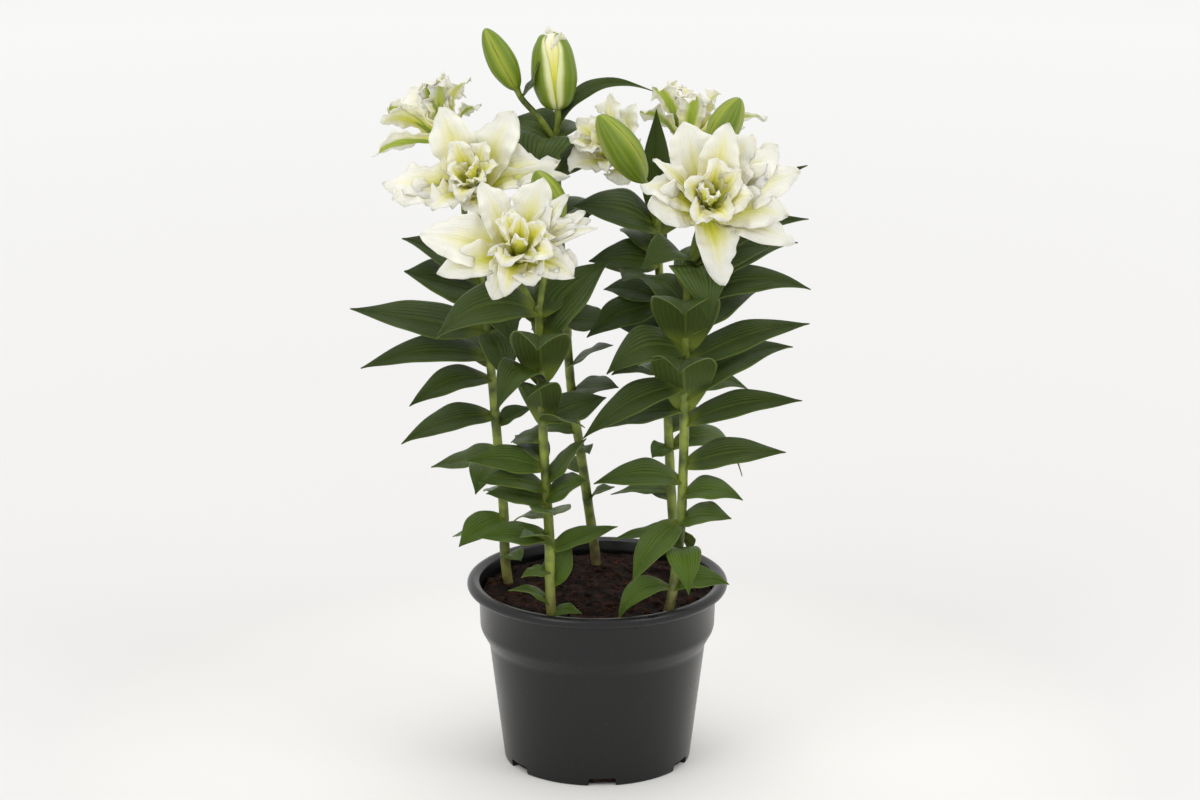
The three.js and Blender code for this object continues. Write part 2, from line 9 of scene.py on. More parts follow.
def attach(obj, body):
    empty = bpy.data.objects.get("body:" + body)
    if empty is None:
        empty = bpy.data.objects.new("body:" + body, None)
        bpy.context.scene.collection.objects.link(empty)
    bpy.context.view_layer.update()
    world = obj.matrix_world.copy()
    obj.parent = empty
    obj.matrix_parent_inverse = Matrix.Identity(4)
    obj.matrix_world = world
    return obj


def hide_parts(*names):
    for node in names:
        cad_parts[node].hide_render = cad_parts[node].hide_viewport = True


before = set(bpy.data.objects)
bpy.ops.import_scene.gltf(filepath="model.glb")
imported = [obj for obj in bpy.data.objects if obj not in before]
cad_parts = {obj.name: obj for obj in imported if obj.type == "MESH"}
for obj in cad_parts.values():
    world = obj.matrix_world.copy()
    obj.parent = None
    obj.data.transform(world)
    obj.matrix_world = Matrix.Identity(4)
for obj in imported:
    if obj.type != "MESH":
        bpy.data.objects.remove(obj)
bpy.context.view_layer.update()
print("frame loaded:", len(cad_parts), "nodes")

mm = 0.001
up = Vector((0, 0, 1))

# Stems: the points that each passes, in mm right, back and up. Leaf rows are height on the stem, how far
# the tip lies right, back and up from there, width, arch as a share of the length, and, on some, the roll.
stems = {
    "back_left": {
        "path": [(-72, 18, 140), (-76, 18, 208), (-81, 18, 270), (-86, 20, 330), (-92, 22, 385),
                 (-95, 24, 412)],
        "leaves": [
            (392, -62, -14, 40, 36, 0.08), (384, -61, -24, 24, 46, 0), (353, -109, 2, 17, 35, 0),
            (330, -103, -10, -6, 26, 0.1), (312, -65, -34, -12, 26, 0.13), (281, -75, -16, -18, 25, 0.11),
            (253, -55, 20, -21, 22, 0), (245, -18, -50, -13, 28, 0.14), (196, -36, -24, -17, 26, 0.1),
            (191, -43, 34, -23, 20, 0.04), (164, 12, -20, 2, 18, 0.1), (352, 16, -30, -34, 28, 0.2),
            (380, 24, -26, -34, 28, 0.2), (372, 30, 62, 22, 30, 0.1), (345, 36, 34, 24, 26, 0.1),
            (322, -38, 62, 14, 26, 0.1), (274, 30, 4, 14, 15, 0.08), (232, 22, 44, 4, 20, 0.1),
            (212, -14, 40, -6, 18, 0.1),
        ],
    },
    "front_left": {
        "path": [(-36, -66, 140), (-38, -66, 210), (-42, -66, 280), (-44, -66, 340), (-46, -66, 399)],
        "leaves": [
            (392, -80, -24, -14, 40, 0.2), (333, -2, -78, 52, 44, 0.26), (299, -12, -62, 42, 32, 0.28),
            (333, -34, -42, -8, 30, 0.42), (301, 33, -40, 10, 26, 0.08, -50), (370, 54, 26, 56, 42, 0.12),
            (304, 50, 26, 11, 30, 0.04), (252, 32, -8, 40, 22, 0.02), (264, -62, -4, 8, 26, 0.08),
            (247, -53, -22, 13, 24, 0.1), (237, -48, -4, 8, 24, 0.08), (230, 6, -48, 12, 30, 0.03),
            (287, -26, 22, -8, 24, 0.14), (241, 32, -26, 22, 26, 0.04, 70), (208, -56, -26, 8, 24, 0.04),
            (197, -23, -40, 24, 20, 0.12), (224, -28, 36, -15, 20, 0.08), (196, 54, 10, 17, 17, 0.05),
            (167, 17, 10, 32, 22, 0.05, 50), (178, -23, -18, 2, 13, 0.1), (147, -34, -12, 20, 12, 0.18),
            (144, 24, -8, 2, 12, 0.12), (388, 34, 46, 24, 30, 0.1), (383, -20, 58, 20, 30, 0.1),
            (270, -24, 44, 8, 22, 0.1),
        ],
    },
    "middle_back": {
        "path": [(-1, 62, 140), (-8, 62, 196), (-14, 61, 240), (-21, 60, 290), (-26, 59, 360), (-31, 58, 440),
                 (-34, 57, 508)],
        "leaves": [
            (289, 38, -30, 13, 26, 0.06), (309, 35, -28, 28, 24, 0.06), (241, 8, -28, 4, 14, 0.1),
            (194, 22, -14, 18, 14, 0.1), (498, -36, 14, 15, 34, 0.15), (496, -16, -44, -18, 44, 0.36),
            (500, 20, 30, 4, 24, 0.2), (504, 78, 14, 33, 14, 0.28), (470, 50, 30, 10, 30, 0.2),
            (455, -44, 34, 6, 30, 0.2), (430, 20, -44, 4, 32, 0.25), (425, 40, 44, 6, 30, 0.2),
            (400, -40, 36, 4, 28, 0.2), (350, 38, -14, 0, 28, 0.06), (360, -34, -34, 6, 28, 0.2),
            (330, -30, 40, 0, 24, 0.2), (255, -34, 10, -4, 20, 0.2), (220, -26, 24, -8, 16, 0.2),
        ],
    },
    "front_right": {
        "path": [(55, -64, 140), (65, -62, 204), (68, -59, 270), (69, -56, 330), (70, -52, 395),
                 (74, -49, 432)],
        "leaves": [
            (428, 91, 26, 72, 26, 0.12), (424, 92, 6, 38, 24, 0.12), (418, 72, 22, 22, 34, 0.1),
            (421, -38, -34, 12, 36, 0.3), (416, 14, -54, -18, 44, 0.4), (398, 88, 44, 35, 32, 0.16),
            (392, 98, 22, 9, 28, 0.16), (371, 58, 42, 24, 30, 0.1), (346, 98, 18, 29, 28, 0.07),
            (355, -3, -80, 56, 50, 0.26), (357, -62, -24, -11, 36, 0.2), (330, -80, -34, -33, 27, 0.1),
            (318, 86, 36, 33, 32, 0.15), (308, -5, -78, 56, 48, 0.26), (310, -66, 24, -23, 26, 0.08),
            (298, 93, 6, 18, 24, 0.08), (264, 81, -4, 13, 27, 0.07), (252, -70, -22, 5, 26, 0.1),
            (239, 48, -20, 4, 24, 0.16), (216, -54, 16, -18, 12, 0.02), (219, -38, -44, -36, 26, 0.1),
            (219, 40, -20, 9, 26, 0.1), (212, 9, 16, -25, 14, 0.1), (196, 8, -52, -20, 26, 0.24),
            (163, 46, -6, 6, 22, 0.18), (164, -42, -14, -23, 20, 0.28), (405, 20, 62, 16, 32, 0.2),
            (385, -36, 34, 22, 28, 0.2), (340, 16, 62, 10, 30, 0.2), (325, -36, 50, 6, 28, 0.2),
        ],
    },
    "back_right": {
        "path": [(66, 32, 140), (61, 34, 193), (58, 36, 250), (55, 39, 320), (50, 42, 388), (47, 44, 440)],
        "leaves": [
            (290, 66, 26, 0, 28, 0.2), (248, 60, 28, -32, 26, 0.3), (213, -49, 30, -13, 13, 0.06),
            (205, -26, 40, 4, 18, 0.06), (437, 0, 16, 88, 22, 0.05), (430, -68, -20, 24, 42, 0.1),
            (380, -31, -58, 24, 40, 0.12), (372, -46, 20, 3, 28, 0.12), (366, -60, -18, -20, 30, 0.12),
            (425, 40, 50, 10, 34, 0.2), (408, -30, 54, 6, 32, 0.2), (402, -56, -8, 4, 34, 0.06),
            (350, 56, 30, 12, 30, 0.2), (345, -40, 8, 4, 28, 0.12), (310, -44, -20, 6, 26, 0.2),
            (262, 30, 40, 8, 24, 0.1), (275, -30, 44, 0, 24, 0.2), (250, -14, -16, -4, 18, 0.1),
        ],
    },
}

# Blooms: middle of the open flower, the way it faces and the points its stalk passes. Petal rows, from
# the outermost to the innermost, are how far the tip lies right, back and up from the middle, and width.
blooms = {
    "back_left": {
        "stem": "back_left", "throat": (-100, -5, 483), "faces": (-0.15, -0.7, 0.7), "stalk": [],
        "petals": [
            (-61, -12, -13, 24), (35, 22, 50, 36), (8, -30, -20, 24), (-69, 5, -5, 30), (-25, 22, 54, 32),
            (69, 14, 10, 34), (79, 6, 2, 16), (-29, -28, -17, 26), (13, 4, 31, 20), (-12, 2, 32, 20),
            (-17, -18, 11, 18), (22, -12, 15, 20), (-6, -30, -10, 18), (6, -26, 23, 12), (12, -30, 6, 12),
        ],
    },
    "upper_left": {
        "stem": "back_left", "throat": (-129, 45, 520), "faces": (-0.5, 0.55, 0.65),
        "stalk": [(-106, 38, 446)], "petaloids": 2,
        "petals": [
            (-50, -12, -27, 24), (37, 2, 11, 22), (-5, -16, 35, 22), (-21, 34, 17, 28), (-38, 6, 8, 32),
            (21, 34, 12, 26), (10, -20, 38, 22), (29, -2, 34, 16), (8, 12, 34, 22), (-42, -2, -3, 22),
            (2, -22, 38, 20), (-4, 10, 18, 18), (9, 8, 14, 18), (-8, 0, 8, 14),
        ],
    },
    "front_left": {
        "stem": "front_left", "throat": (-61, -85, 449), "faces": (0.05, -0.75, 0.66),
        "stalk": [(-54, -52, 402)],
        "petals": [
            (-29, 12, 51, 26), (52, 6, 28, 18), (13, -30, -20, 26), (-76, 8, 10, 38), (19, 16, 53, 32),
            (46, -10, -10, 26), (-20, -22, -34, 26), (-63, -6, -18, 26), (39, 10, 41, 14), (56, 4, 22, 14),
            (61, 0, 17, 12), (43, -16, -18, 26), (-10, -28, -30, 20), (-13, -30, -5, 20), (27, -28, 2, 20),
            (-11, -12, 31, 20), (22, -14, 22, 18), (3, -28, 33, 14), (2, -34, 17, 12),
        ],
    },
    "front_right": {
        "stem": "front_right", "throat": (86, -75, 484), "faces": (0.1, -0.8, 0.59), "stalk": [],
        "petals": [
            (-19, 20, 59, 38), (54, 14, 41, 36), (67, -8, -31, 26), (-47, -14, 0, 34), (11, -24, -60, 30),
            (71, 6, 22, 30), (15, 4, 62, 28), (33, 20, 49, 32), (61, -4, -10, 30), (-43, 6, 33, 14),
            (-53, 0, 14, 26), (33, -16, 9, 26), (-19, -14, 20, 20), (7, -14, 39, 20), (25, -10, 27, 22),
            (14, -28, -8, 22), (-11, -30, -8, 20), (-5, -34, 19, 12), (5, -36, 14, 10),
        ],
    },
    "back_right": {
        "stem": "back_right", "throat": (12, 28, 501), "faces": (-0.55, -0.6, 0.58), "stalk": [],
        "petals": [
            (13, -22, -24, 26), (18, 22, 31, 24), (-35, -14, -14, 28), (22, 2, 4, 22), (-2, 16, 41, 26),
            (-31, -4, 6, 18), (-17, 20, 21, 24), (-29, 6, 18, 24), (-22, -20, 2, 18), (-34, 0, 7, 16),
            (-11, -8, 18, 18), (-10, -20, 2, 14), (-2, -12, 14, 14),
        ],
    },
    "upper_right": {
        "stem": "back_right", "throat": (74, 72, 515), "faces": (0.1, 0.6, 0.75), "stalk": [],
        "petaloids": 2,
        "petals": [
            (-40, 4, 4, 24), (4, -26, 24, 22), (62, 0, 0, 26), (-8, 32, 6, 26), (-30, 0, 25, 26),
            (44, -12, -5, 22), (24, 24, 13, 26), (17, -14, 18, 24), (-5, 18, 20, 22), (-18, 14, 25, 22),
            (-11, -8, 17, 18), (10, 8, 10, 18), (0, 4, 12, 14),
        ],
    },
}

# Buds: base, tip and width, the points the stalk passes, and the turn of the seams round the bud.
buds = {
    "top_left": {"stem": "middle_back", "base": (-64, 50, 544), "tip": (-89, 50, 593), "width": 22,
                 "stalk": [(-46, 53, 519)], "bract": (14, -10, 33, 14, -0.06, 55), "turn": -30},
    "opening": {"stem": "middle_back", "base": (-32, 55, 527), "tip": (-37, 55, 588), "width": 36,
                "stalk": [], "turn": -28, "profile": "open"},
    "front_left": {"stem": "front_left", "base": (-29, -38, 459), "tip": (-48, -36, 499), "width": 24,
                   "stalk": [(-38, -46, 430)], "turn": 20},
    "front_right": {"stem": "front_right", "base": (90, -28, 514), "tip": (111, -30, 556), "width": 25,
                    "stalk": [(94, -18, 458)], "turn": 30},
    "back_right": {"stem": "back_right", "base": (36, -5, 483), "tip": (1, -13, 538), "width": 28,
                   "stalk": [(46, 14, 460)], "turn": 26},
}


# Small tools, shared by the pieces

def linear(hexColour):  # sRGB hex to the linear colour that a shader socket takes
    parts = [int(hexColour[i:i + 2], 16) / 255 for i in (1, 3, 5)]
    return tuple(p / 12.92 if p <= 0.04045 else ((p + 0.055) / 1.055) ** 2.4 for p in parts) + (1.0,)


def addNode(material, kind, fields=None, inputs=None, stops=None):
    # fields are the node's settings, inputs are values or the sockets that feed it, stops are a ramp's
    tree = material.node_tree
    node = tree.nodes.new(kind)
    for name, value in (fields or {}).items():
        setattr(node, name, value)
    for name, value in (inputs or {}).items():
        if isinstance(value, bpy.types.NodeSocket):
            tree.links.new(value, node.inputs[name])
        else:
            node.inputs[name].default_value = value
    if stops:
        ramp = node.color_ramp
        while len(ramp.elements) < len(stops):
            ramp.elements.new(0.5)
        for element, (position, colour) in zip(ramp.elements, stops):
            element.position = position
            element.color = linear(colour)
    return node


def scaleOf(size):  # the texture scale that draws a pattern at this size in mm
    return 1 / (size * mm)


def alongAndAcross(material):  # 0 to 1 along a sheet, and 0 at its middle line to 1 at each edge
    sheet = addNode(material, "ShaderNodeUVMap", {"uv_map": "UVMap"}).outputs[0]
    place = addNode(material, "ShaderNodeSeparateXYZ", {}, {0: sheet})
    signed = addNode(material, "ShaderNodeMath", {"operation": "MULTIPLY_ADD"},
                     {0: place.outputs[0], 1: 2, 2: -1})
    across = addNode(material, "ShaderNodeMath", {"operation": "ABSOLUTE"}, {0: signed.outputs[0]})
    return place.outputs[1], across.outputs[0]


def stripes(material, value, count):  # count waves of a cosine over a value from 0 to 1
    angle = addNode(material, "ShaderNodeMath", {"operation": "MULTIPLY"}, {0: value, 1: 2 * math.pi * count})
    return addNode(material, "ShaderNodeMath", {"operation": "COSINE"}, {0: angle.outputs[0]}).outputs[0]


def wire(material, shader, sources):  # a source for each named input of the shader
    for name, source in sources.items():
        material.node_tree.links.new(source, shader.inputs[name])


def newMaterial(name, constants):
    material = bpy.data.materials.new(name)
    material.use_nodes = True
    shader = material.node_tree.nodes["Principled BSDF"]
    for socket, value in constants.items():
        shader.inputs[socket].default_value = value
    return material, shader


def newBmesh():
    bm = bmesh.new()
    bm.loops.layers.uv.new("UVMap")
    bm.verts.layers.float.new("tone")
    return bm


def laySheet(bm, columns, rows, place, tone=0.0, closeSeam=False):
    # A grid bent by place(u, t): u from -1 to 1 across and t from 0 to 1 along
    toneLayer = bm.verts.layers.float["tone"]
    made = bmesh.ops.create_grid(bm, x_segments=columns, y_segments=rows, size=1, calc_uvs=True)["verts"]
    for vert in made:
        vert[toneLayer] = tone
        vert.co = place(vert.co.x, (vert.co.y + 1) / 2)
    if closeSeam:
        bmesh.ops.remove_doubles(bm, verts=made, dist=1e-6)


def finishPiece(bm, name, materials, nodes=(), thickness=0.0):
    mesh = bpy.data.meshes.new(name)
    bm.to_mesh(mesh)
    bm.free()
    mesh.shade_smooth()
    piece = bpy.data.objects.new(name, mesh)
    bpy.context.scene.collection.objects.link(piece)
    for material in materials:
        mesh.materials.append(material)
    if thickness:
        wall = piece.modifiers.new("thickness", "SOLIDIFY")
        wall.thickness = thickness
        wall.offset = 0
        wall.material_offset = len(materials) - 1
    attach(piece, "root")
    if nodes:
        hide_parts(*nodes)
    return piece


def curvePoint(points, t):  # a smooth curve through points, t from 0 to 1
    last = len(points) - 1
    i = min(int(t * last), last - 1)
    s = t * last - i
    b, c = points[i], points[i + 1]
    a = points[i - 1] if i > 0 else 2 * b - c
    d = points[i + 2] if i + 2 <= last else 2 * c - b
    curved = (2 * a - 5 * b + 4 * c - d) * s ** 2 + (3 * b - a - 3 * c + d) * s ** 3
    return 0.5 * (2 * b + (c - a) * s + curved)


def rollTube(bm, points, radiusAt, columns, rows, tone=0.0):
    # A closed round bar along a smooth curve; radiusAt(angle, t) gives its radius
    step = 0.5 / rows

    def place(u, t):
        tangent = curvePoint(points, min(1, t + step)) - curvePoint(points, max(0, t - step))
        turn = up.rotation_difference(tangent.normalized())
        angle = math.pi * u
        radius = radiusAt(angle, t) * min(1, 4 * rows * min(t, 1 - t))
        return curvePoint(points, t) + turn @ Vector((radius * math.cos(angle), radius * math.sin(angle), 0))

    laySheet(bm, columns, rows, place, tone, closeSeam=True)


def smoothStep(low, high, x):
    s = min(1.0, max(0.0, (x - low) / (high - low)))
    return s * s * (3 - 2 * s)


# Pot: black moulded polypropylene

pot = {
    "footRadius": 75.4, "neckRadius": 87.3, "neckHeight": 98, "shoulderRadius": 94.5, "shoulderHeight": 111,
    "collarRadius": 95.6, "rollRadius": 4.5, "rollCentre": 100.5, "rollHeight": 147, "wall": 2, "floor": 2.5,
    "slots": 6, "firstSlot": 273, "slotWidth": 22, "slotHeight": 6.5, "slotDepth": 9, "sides": 144,
    "colour": "#0f0f10", "scuffColour": "#242323", "dustColour": "#4d4844",
    "roughness": (0.22, 0.36), "blotchSize": 33.33, "scuffSize": (6.25, 6.25, 1.111), "speckSize": 2.381,
    "grainSize": 0.7143, "grainDepth": 0.1,
}


def mouldedPolypropylene():
    # Injection-moulded polypropylene: satin charcoal with a fine grain, faint scuffs and a little soil dust.
    # The real grain is about a tenth of a millimetre, too fine to show, so it is drawn coarser.
    constants = {"IOR": 1.49, "Specular IOR Level": 0.4}
    material, shader = newMaterial("moulded polypropylene, charcoal", constants)
    spot = addNode(material, "ShaderNodeTexCoord").outputs["Object"]
    blotch = addNode(material, "ShaderNodeTexNoise", {},
                     {"Vector": spot, "Scale": scaleOf(pot["blotchSize"]), "Detail": 4})
    stretch = addNode(material, "ShaderNodeMapping", {},
                      {"Vector": spot, "Scale": [scaleOf(size) for size in pot["scuffSize"]]})
    scuff = addNode(material, "ShaderNodeTexNoise", {},
                    {"Vector": stretch.outputs[0], "Scale": 1, "Detail": 6})
    scuffShare = addNode(material, "ShaderNodeMapRange", {},
                         {"Value": scuff.outputs["Fac"], "From Min": 0.6, "From Max": 0.78, "To Max": 0.35})
    worn = addNode(material, "ShaderNodeMix", {"data_type": "RGBA"},
                   {0: scuffShare.outputs[0], 6: linear(pot["colour"]), 7: linear(pot["scuffColour"])})
    speck = addNode(material, "ShaderNodeTexNoise", {},
                    {"Vector": spot, "Scale": scaleOf(pot["speckSize"]), "Detail": 2})
    dustShare = addNode(material, "ShaderNodeMapRange", {},
                        {"Value": speck.outputs["Fac"], "From Min": 0.71, "From Max": 0.76, "To Max": 0.35})
    dusty = addNode(material, "ShaderNodeMix", {"data_type": "RGBA"},
                    {0: dustShare.outputs[0], 6: worn.outputs[2], 7: linear(pot["dustColour"])})
    shiny, dull = pot["roughness"]
    gloss = addNode(material, "ShaderNodeMapRange", {},
                    {"Value": blotch.outputs["Fac"], "To Min": shiny, "To Max": dull})
    grain = addNode(material, "ShaderNodeTexNoise", {},
                    {"Vector": spot, "Scale": scaleOf(pot["grainSize"]), "Detail": 2})
    bump = addNode(material, "ShaderNodeBump", {},
                   {"Height": grain.outputs["Fac"], "Strength": 0.12, "Distance": pot["grainDepth"] * mm})
    wire(material, shader, {"Base Color": dusty.outputs[2], "Roughness": gloss.outputs[0],
                            "Normal": bump.outputs[0]})
    return material


def nurseryPot():
    p = pot
    rollFoot = p["rollHeight"] - 3.4
    # radius, height and corner rounding of the wall, from the middle of the foot round to the inside
    profile = [
        (0, 0, 0), (40, 0, 0), (41, 0.7, 0), (43, 0.7, 0), (44, 0, 0), (p["footRadius"] - 0.6, 0, 0.6),
        (p["footRadius"], 1.5, 0.5), (p["footRadius"] + 0.9, 9, 0),
        (p["neckRadius"], p["neckHeight"], 2.5), (p["shoulderRadius"], p["shoulderHeight"], 3),
        (p["collarRadius"] - 0.1, rollFoot - 4, 0), (p["collarRadius"] + 0.3, rollFoot - 3.2, 0),
        (p["collarRadius"] + 0.3, rollFoot, 0),
    ]
    for i in range(15):
        angle = math.radians(-125 + 235 * i / 14)
        profile.append((p["rollCentre"] + p["rollRadius"] * math.cos(angle),
                        p["rollHeight"] + p["rollRadius"] * math.sin(angle), 0))
    wall = p["wall"]
    profile += [
        (p["collarRadius"] - 0.4, p["rollHeight"] + 2.8, 0.8), (p["collarRadius"] - wall, rollFoot - 1, 0.8),
        (p["shoulderRadius"] - wall, p["shoulderHeight"] + 0.5, 2),
        (p["neckRadius"] - wall, p["neckHeight"] + 0.5, 2),
        (p["footRadius"] - wall, p["floor"], 1), (0, p["floor"], 0),
    ]
    bm = newBmesh()
    verts = [bm.verts.new((radius * mm, 0, height * mm)) for radius, height, _ in profile]
    for pair in zip(verts, verts[1:]):
        bm.edges.new(pair)
    for vert, (_, _, rounding) in zip(verts, profile):
        if rounding:
            bmesh.ops.bevel(bm, geom=[vert], offset=rounding * mm, segments=4, profile=0.5,
                            affect="VERTICES", material=-1)
    bmesh.ops.spin(bm, geom=bm.verts[:] + bm.edges[:], cent=(0, 0, 0), axis=(0, 0, 1),
                   angle=2 * math.pi, steps=p["sides"], use_merge=True)
    bmesh.ops.remove_doubles(bm, verts=bm.verts[:], dist=1e-6)
    bmesh.ops.recalc_face_normals(bm, faces=bm.faces[:])
    piece = finishPiece(bm, "pot_shell", [mouldedPolypropylene()], ["pot"])
    cutSlots(piece)
    print("pot done")


def cutSlots(piece):
    p = pot
    bm = bmesh.new()
    for i in range(p["slots"]):
        turn = Matrix.Rotation(math.radians(p["firstSlot"] + 360 * i / p["slots"]), 4, "Z")
        size = Matrix.Diagonal((2 * p["slotDepth"] * mm, p["slotWidth"] * mm, 2 * p["slotHeight"] * mm, 1))
        out = Matrix.Translation(((p["footRadius"] + 0.4) * mm, 0, 0))
        block = bmesh.ops.create_cube(bm, size=1, matrix=turn @ out @ size)["verts"]
        upper = [e for e in {e for v in block for e in v.link_edges} if all(v.co.z > 0 for v in e.verts)]
        inward = [e for e in upper if abs(e.verts[0].co.length - e.verts[1].co.length) > 5 * mm]
        bmesh.ops.bevel(bm, geom=inward, offset=1.6 * mm, segments=4, profile=0.5,
                        affect="EDGES", material=-1)
    mesh = bpy.data.meshes.new("slot blocks")
    bm.to_mesh(mesh)
    bm.free()
    blocks = bpy.data.objects.new("slot_blocks", mesh)
    bpy.context.scene.collection.objects.link(blocks)
    cut = piece.modifiers.new("slots", "BOOLEAN")
    cut.object = blocks
    cut.operation = "DIFFERENCE"
    cut.solver = "EXACT"
    cutMesh = bpy.data.meshes.new_from_object(piece.evaluated_get(bpy.context.evaluated_depsgraph_get()))
    piece.modifiers.clear()
    piece.data = cutMesh
    cutMesh.name = piece.name
    bpy.data.objects.remove(blocks)
    cutMesh.shade_smooth()
    cutMesh.set_sharp_from_angle(angle=math.radians(40))


# Soil: moist peat with crumbs and root fibres

soil = {
    "height": 140, "lump": 1.5, "radius": 92.6, "skirt": 4, "crumbs": 700, "fibres": 260,
    "dark": "#090403", "mid": "#1b0f09", "light": "#432617",
    "patchSize": 11.11, "crumbSize": 1.667, "crumbDepth": 0.6,
}


def moistPeat():
    # Moist peat: nearly black-brown and matte, with redder, drier crumbs standing out
    material, shader = newMaterial("moist peat", {"IOR": 1.4, "Specular IOR Level": 0.25, "Roughness": 0.9})
    spot = addNode(material, "ShaderNodeTexCoord").outputs["Object"]
    patch = addNode(material, "ShaderNodeTexNoise", {},
                    {"Vector": spot, "Scale": scaleOf(soil["patchSize"]), "Detail": 6, "Roughness": 0.7})
    crumb = addNode(material, "ShaderNodeTexNoise", {},
                    {"Vector": spot, "Scale": scaleOf(soil["crumbSize"]), "Detail": 4})
    tone = addNode(material, "ShaderNodeAttribute", {"attribute_name": "tone"}).outputs["Fac"]
    blend = addNode(material, "ShaderNodeMath", {"operation": "MULTIPLY_ADD"},
                    {0: crumb.outputs["Fac"], 1: 0.5, 2: patch.outputs["Fac"]})
    lifted = addNode(material, "ShaderNodeMath", {"operation": "MULTIPLY_ADD"},
                     {0: tone, 1: 0.35, 2: blend.outputs[0]})
    colour = addNode(material, "ShaderNodeValToRGB", {}, {0: lifted.outputs[0]}, [
        (0.58, soil["dark"]), (0.76, soil["mid"]), (0.98, soil["light"])])
    bump = addNode(material, "ShaderNodeBump", {},
                   {"Height": crumb.outputs["Fac"], "Strength": 0.7, "Distance": soil["crumbDepth"] * mm})
    wire(material, shader, {"Base Color": colour.outputs["Color"], "Normal": bump.outputs[0]})
    return material


def soilHeight(x, y):  # in mm, as low lumps that fall a little to the edge
    lumps = math.sin(0.11 * x + 1) * math.cos(0.13 * y) + 0.6 * math.sin(0.27 * x + 0.21 * y + 2)
    return soil["height"] + soil["lump"] * lumps - 1.5 * (math.hypot(x, y) / pot["collarRadius"]) ** 4


def peatTop(x, y):
    grit = noise.fractal(Vector((x, y, 3)) * 0.16, 0.9, 2.1, 5)
    lump = noise.noise(Vector((x, y, 11)) * 0.06)
    return soilHeight(x, y) + 1.0 + 1.5 * grit + 1.6 * lump


def pottingSoil():
    peat = moistPeat()
    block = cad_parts["soil"].data
    block.materials.clear()
    block.materials.append(peat)
    bm = newBmesh()

    def place(u, t):
        angle = -math.pi * u
        out = min(1.0, t / 0.9) ** 0.8 if t < 0.9 else 1.0
        radius = soil["radius"] * out
        x, y = radius * math.cos(angle), radius * math.sin(angle)
        height = peatTop(x, y)
        if t > 0.9:
            under = (t - 0.9) / 0.1
            height = min(height, soilHeight(x, y) - soil["skirt"] * min(1, 3 * under))
            radius *= 1 - max(0, under - 0.34) / 0.66
            x, y = radius * math.cos(angle), radius * math.sin(angle)
        return Vector((x, y, height)) * mm

    laySheet(bm, 240, 90, place, closeSeam=True)
    bmesh.ops.recalc_face_normals(bm, faces=bm.faces[:])
    finishPiece(bm, "peat_surface", [peat])
    peatCrumbs(peat)
    print("soil done")


def peatCrumbs(peat):
    bm = newBmesh()
    toneLayer = bm.verts.layers.float["tone"]
    draw = random.Random(5)
    for _ in range(soil["crumbs"]):
        radius = (soil["radius"] - 3) * math.sqrt(draw.random())
        angle = draw.uniform(0, 2 * math.pi)
        x, y = radius * math.cos(angle), radius * math.sin(angle)
        size = draw.uniform(0.5, 1.5) + (1.4 if draw.random() < 0.08 else 0)
        verts = bmesh.ops.create_icosphere(bm, subdivisions=1, radius=size * mm)["verts"]
        tone = draw.uniform(-0.2, 1)
        stretch = Matrix.Diagonal((draw.uniform(0.8, 1.7), draw.uniform(0.7, 1.3), draw.uniform(0.5, 0.9)))
        turn = Matrix.Rotation(draw.uniform(0, 6.28), 3, "Z")
        for vert in verts:
            vert[toneLayer] = tone
            vert.co = turn @ stretch @ vert.co * draw.uniform(0.8, 1.2)
            vert.co += Vector((x, y, peatTop(x, y) + 0.3 * size)) * mm
    for _ in range(soil["fibres"]):
        radius = (soil["radius"] - 9) * math.sqrt(draw.random())
        angle = draw.uniform(0, 2 * math.pi)
        start = Vector((radius * math.cos(angle), radius * math.sin(angle), 0))
        heading = draw.uniform(0, 6.28)
        length = draw.uniform(3, 11)
        points = []
        for i in range(4):
            heading += draw.uniform(-0.5, 0.5)
            spot = start + Vector((math.cos(heading), math.sin(heading), 0)) * length * i / 3
            lift = 0.5 if i in (1, 2) else -0.2
            points.append(Vector((spot.x, spot.y, peatTop(spot.x, spot.y) + lift)) * mm)
        thickness = draw.uniform(0.15, 0.3) * mm
        rollTube(bm, points, lambda a, t: thickness, 4, 6, tone=draw.uniform(0.8, 1.6))
    finishPiece(bm, "peat_crumbs", [peat])


# Bulbs: fleshy overlapping scales round a core, under the foot of each stem

bulb = {
    "radius": 22, "bottom": 30, "nose": 76, "ring": 50,
    "whorls": [(0.93, 6, 0.86), (0.8, 6, 0.93), (0.64, 5, 0.98)],  # radius share, scales, height share
    "colour": "#d9cda2", "tipColour": "#b98a72", "footColour": "#a08a5c", "patchSize": 6.25,
}


def fleshyScale():
    # Fleshy bulb scale: waxy cream with a flush of dull purple at the tips
    constants = {"IOR": 1.4, "Roughness": 0.55, "Subsurface Weight": 0.15}
    material, shader = newMaterial("fleshy bulb scale", constants)
    shader.inputs["Subsurface Radius"].default_value = (3 * mm, 2 * mm, 1 * mm)
    sheet = addNode(material, "ShaderNodeUVMap", {"uv_map": "UVMap"}).outputs[0]
    along = addNode(material, "ShaderNodeSeparateXYZ", {}, {0: sheet}).outputs[1]
    spot = addNode(material, "ShaderNodeTexCoord").outputs["Object"]
    patch = addNode(material, "ShaderNodeTexNoise", {},
                    {"Vector": spot, "Scale": scaleOf(bulb["patchSize"]), "Detail": 4})
    shifted = addNode(material, "ShaderNodeMath", {"operation": "MULTIPLY_ADD"},
                      {0: patch.outputs["Fac"], 1: 0.3, 2: along})
    colour = addNode(material, "ShaderNodeValToRGB", {}, {0: shifted.outputs[0]}, [
        (0.15, bulb["footColour"]), (0.4, bulb["colour"]), (0.9, bulb["colour"]), (1.0, bulb["tipColour"])])
    wire(material, shader, {"Base Color": colour.outputs["Color"]})
    return material


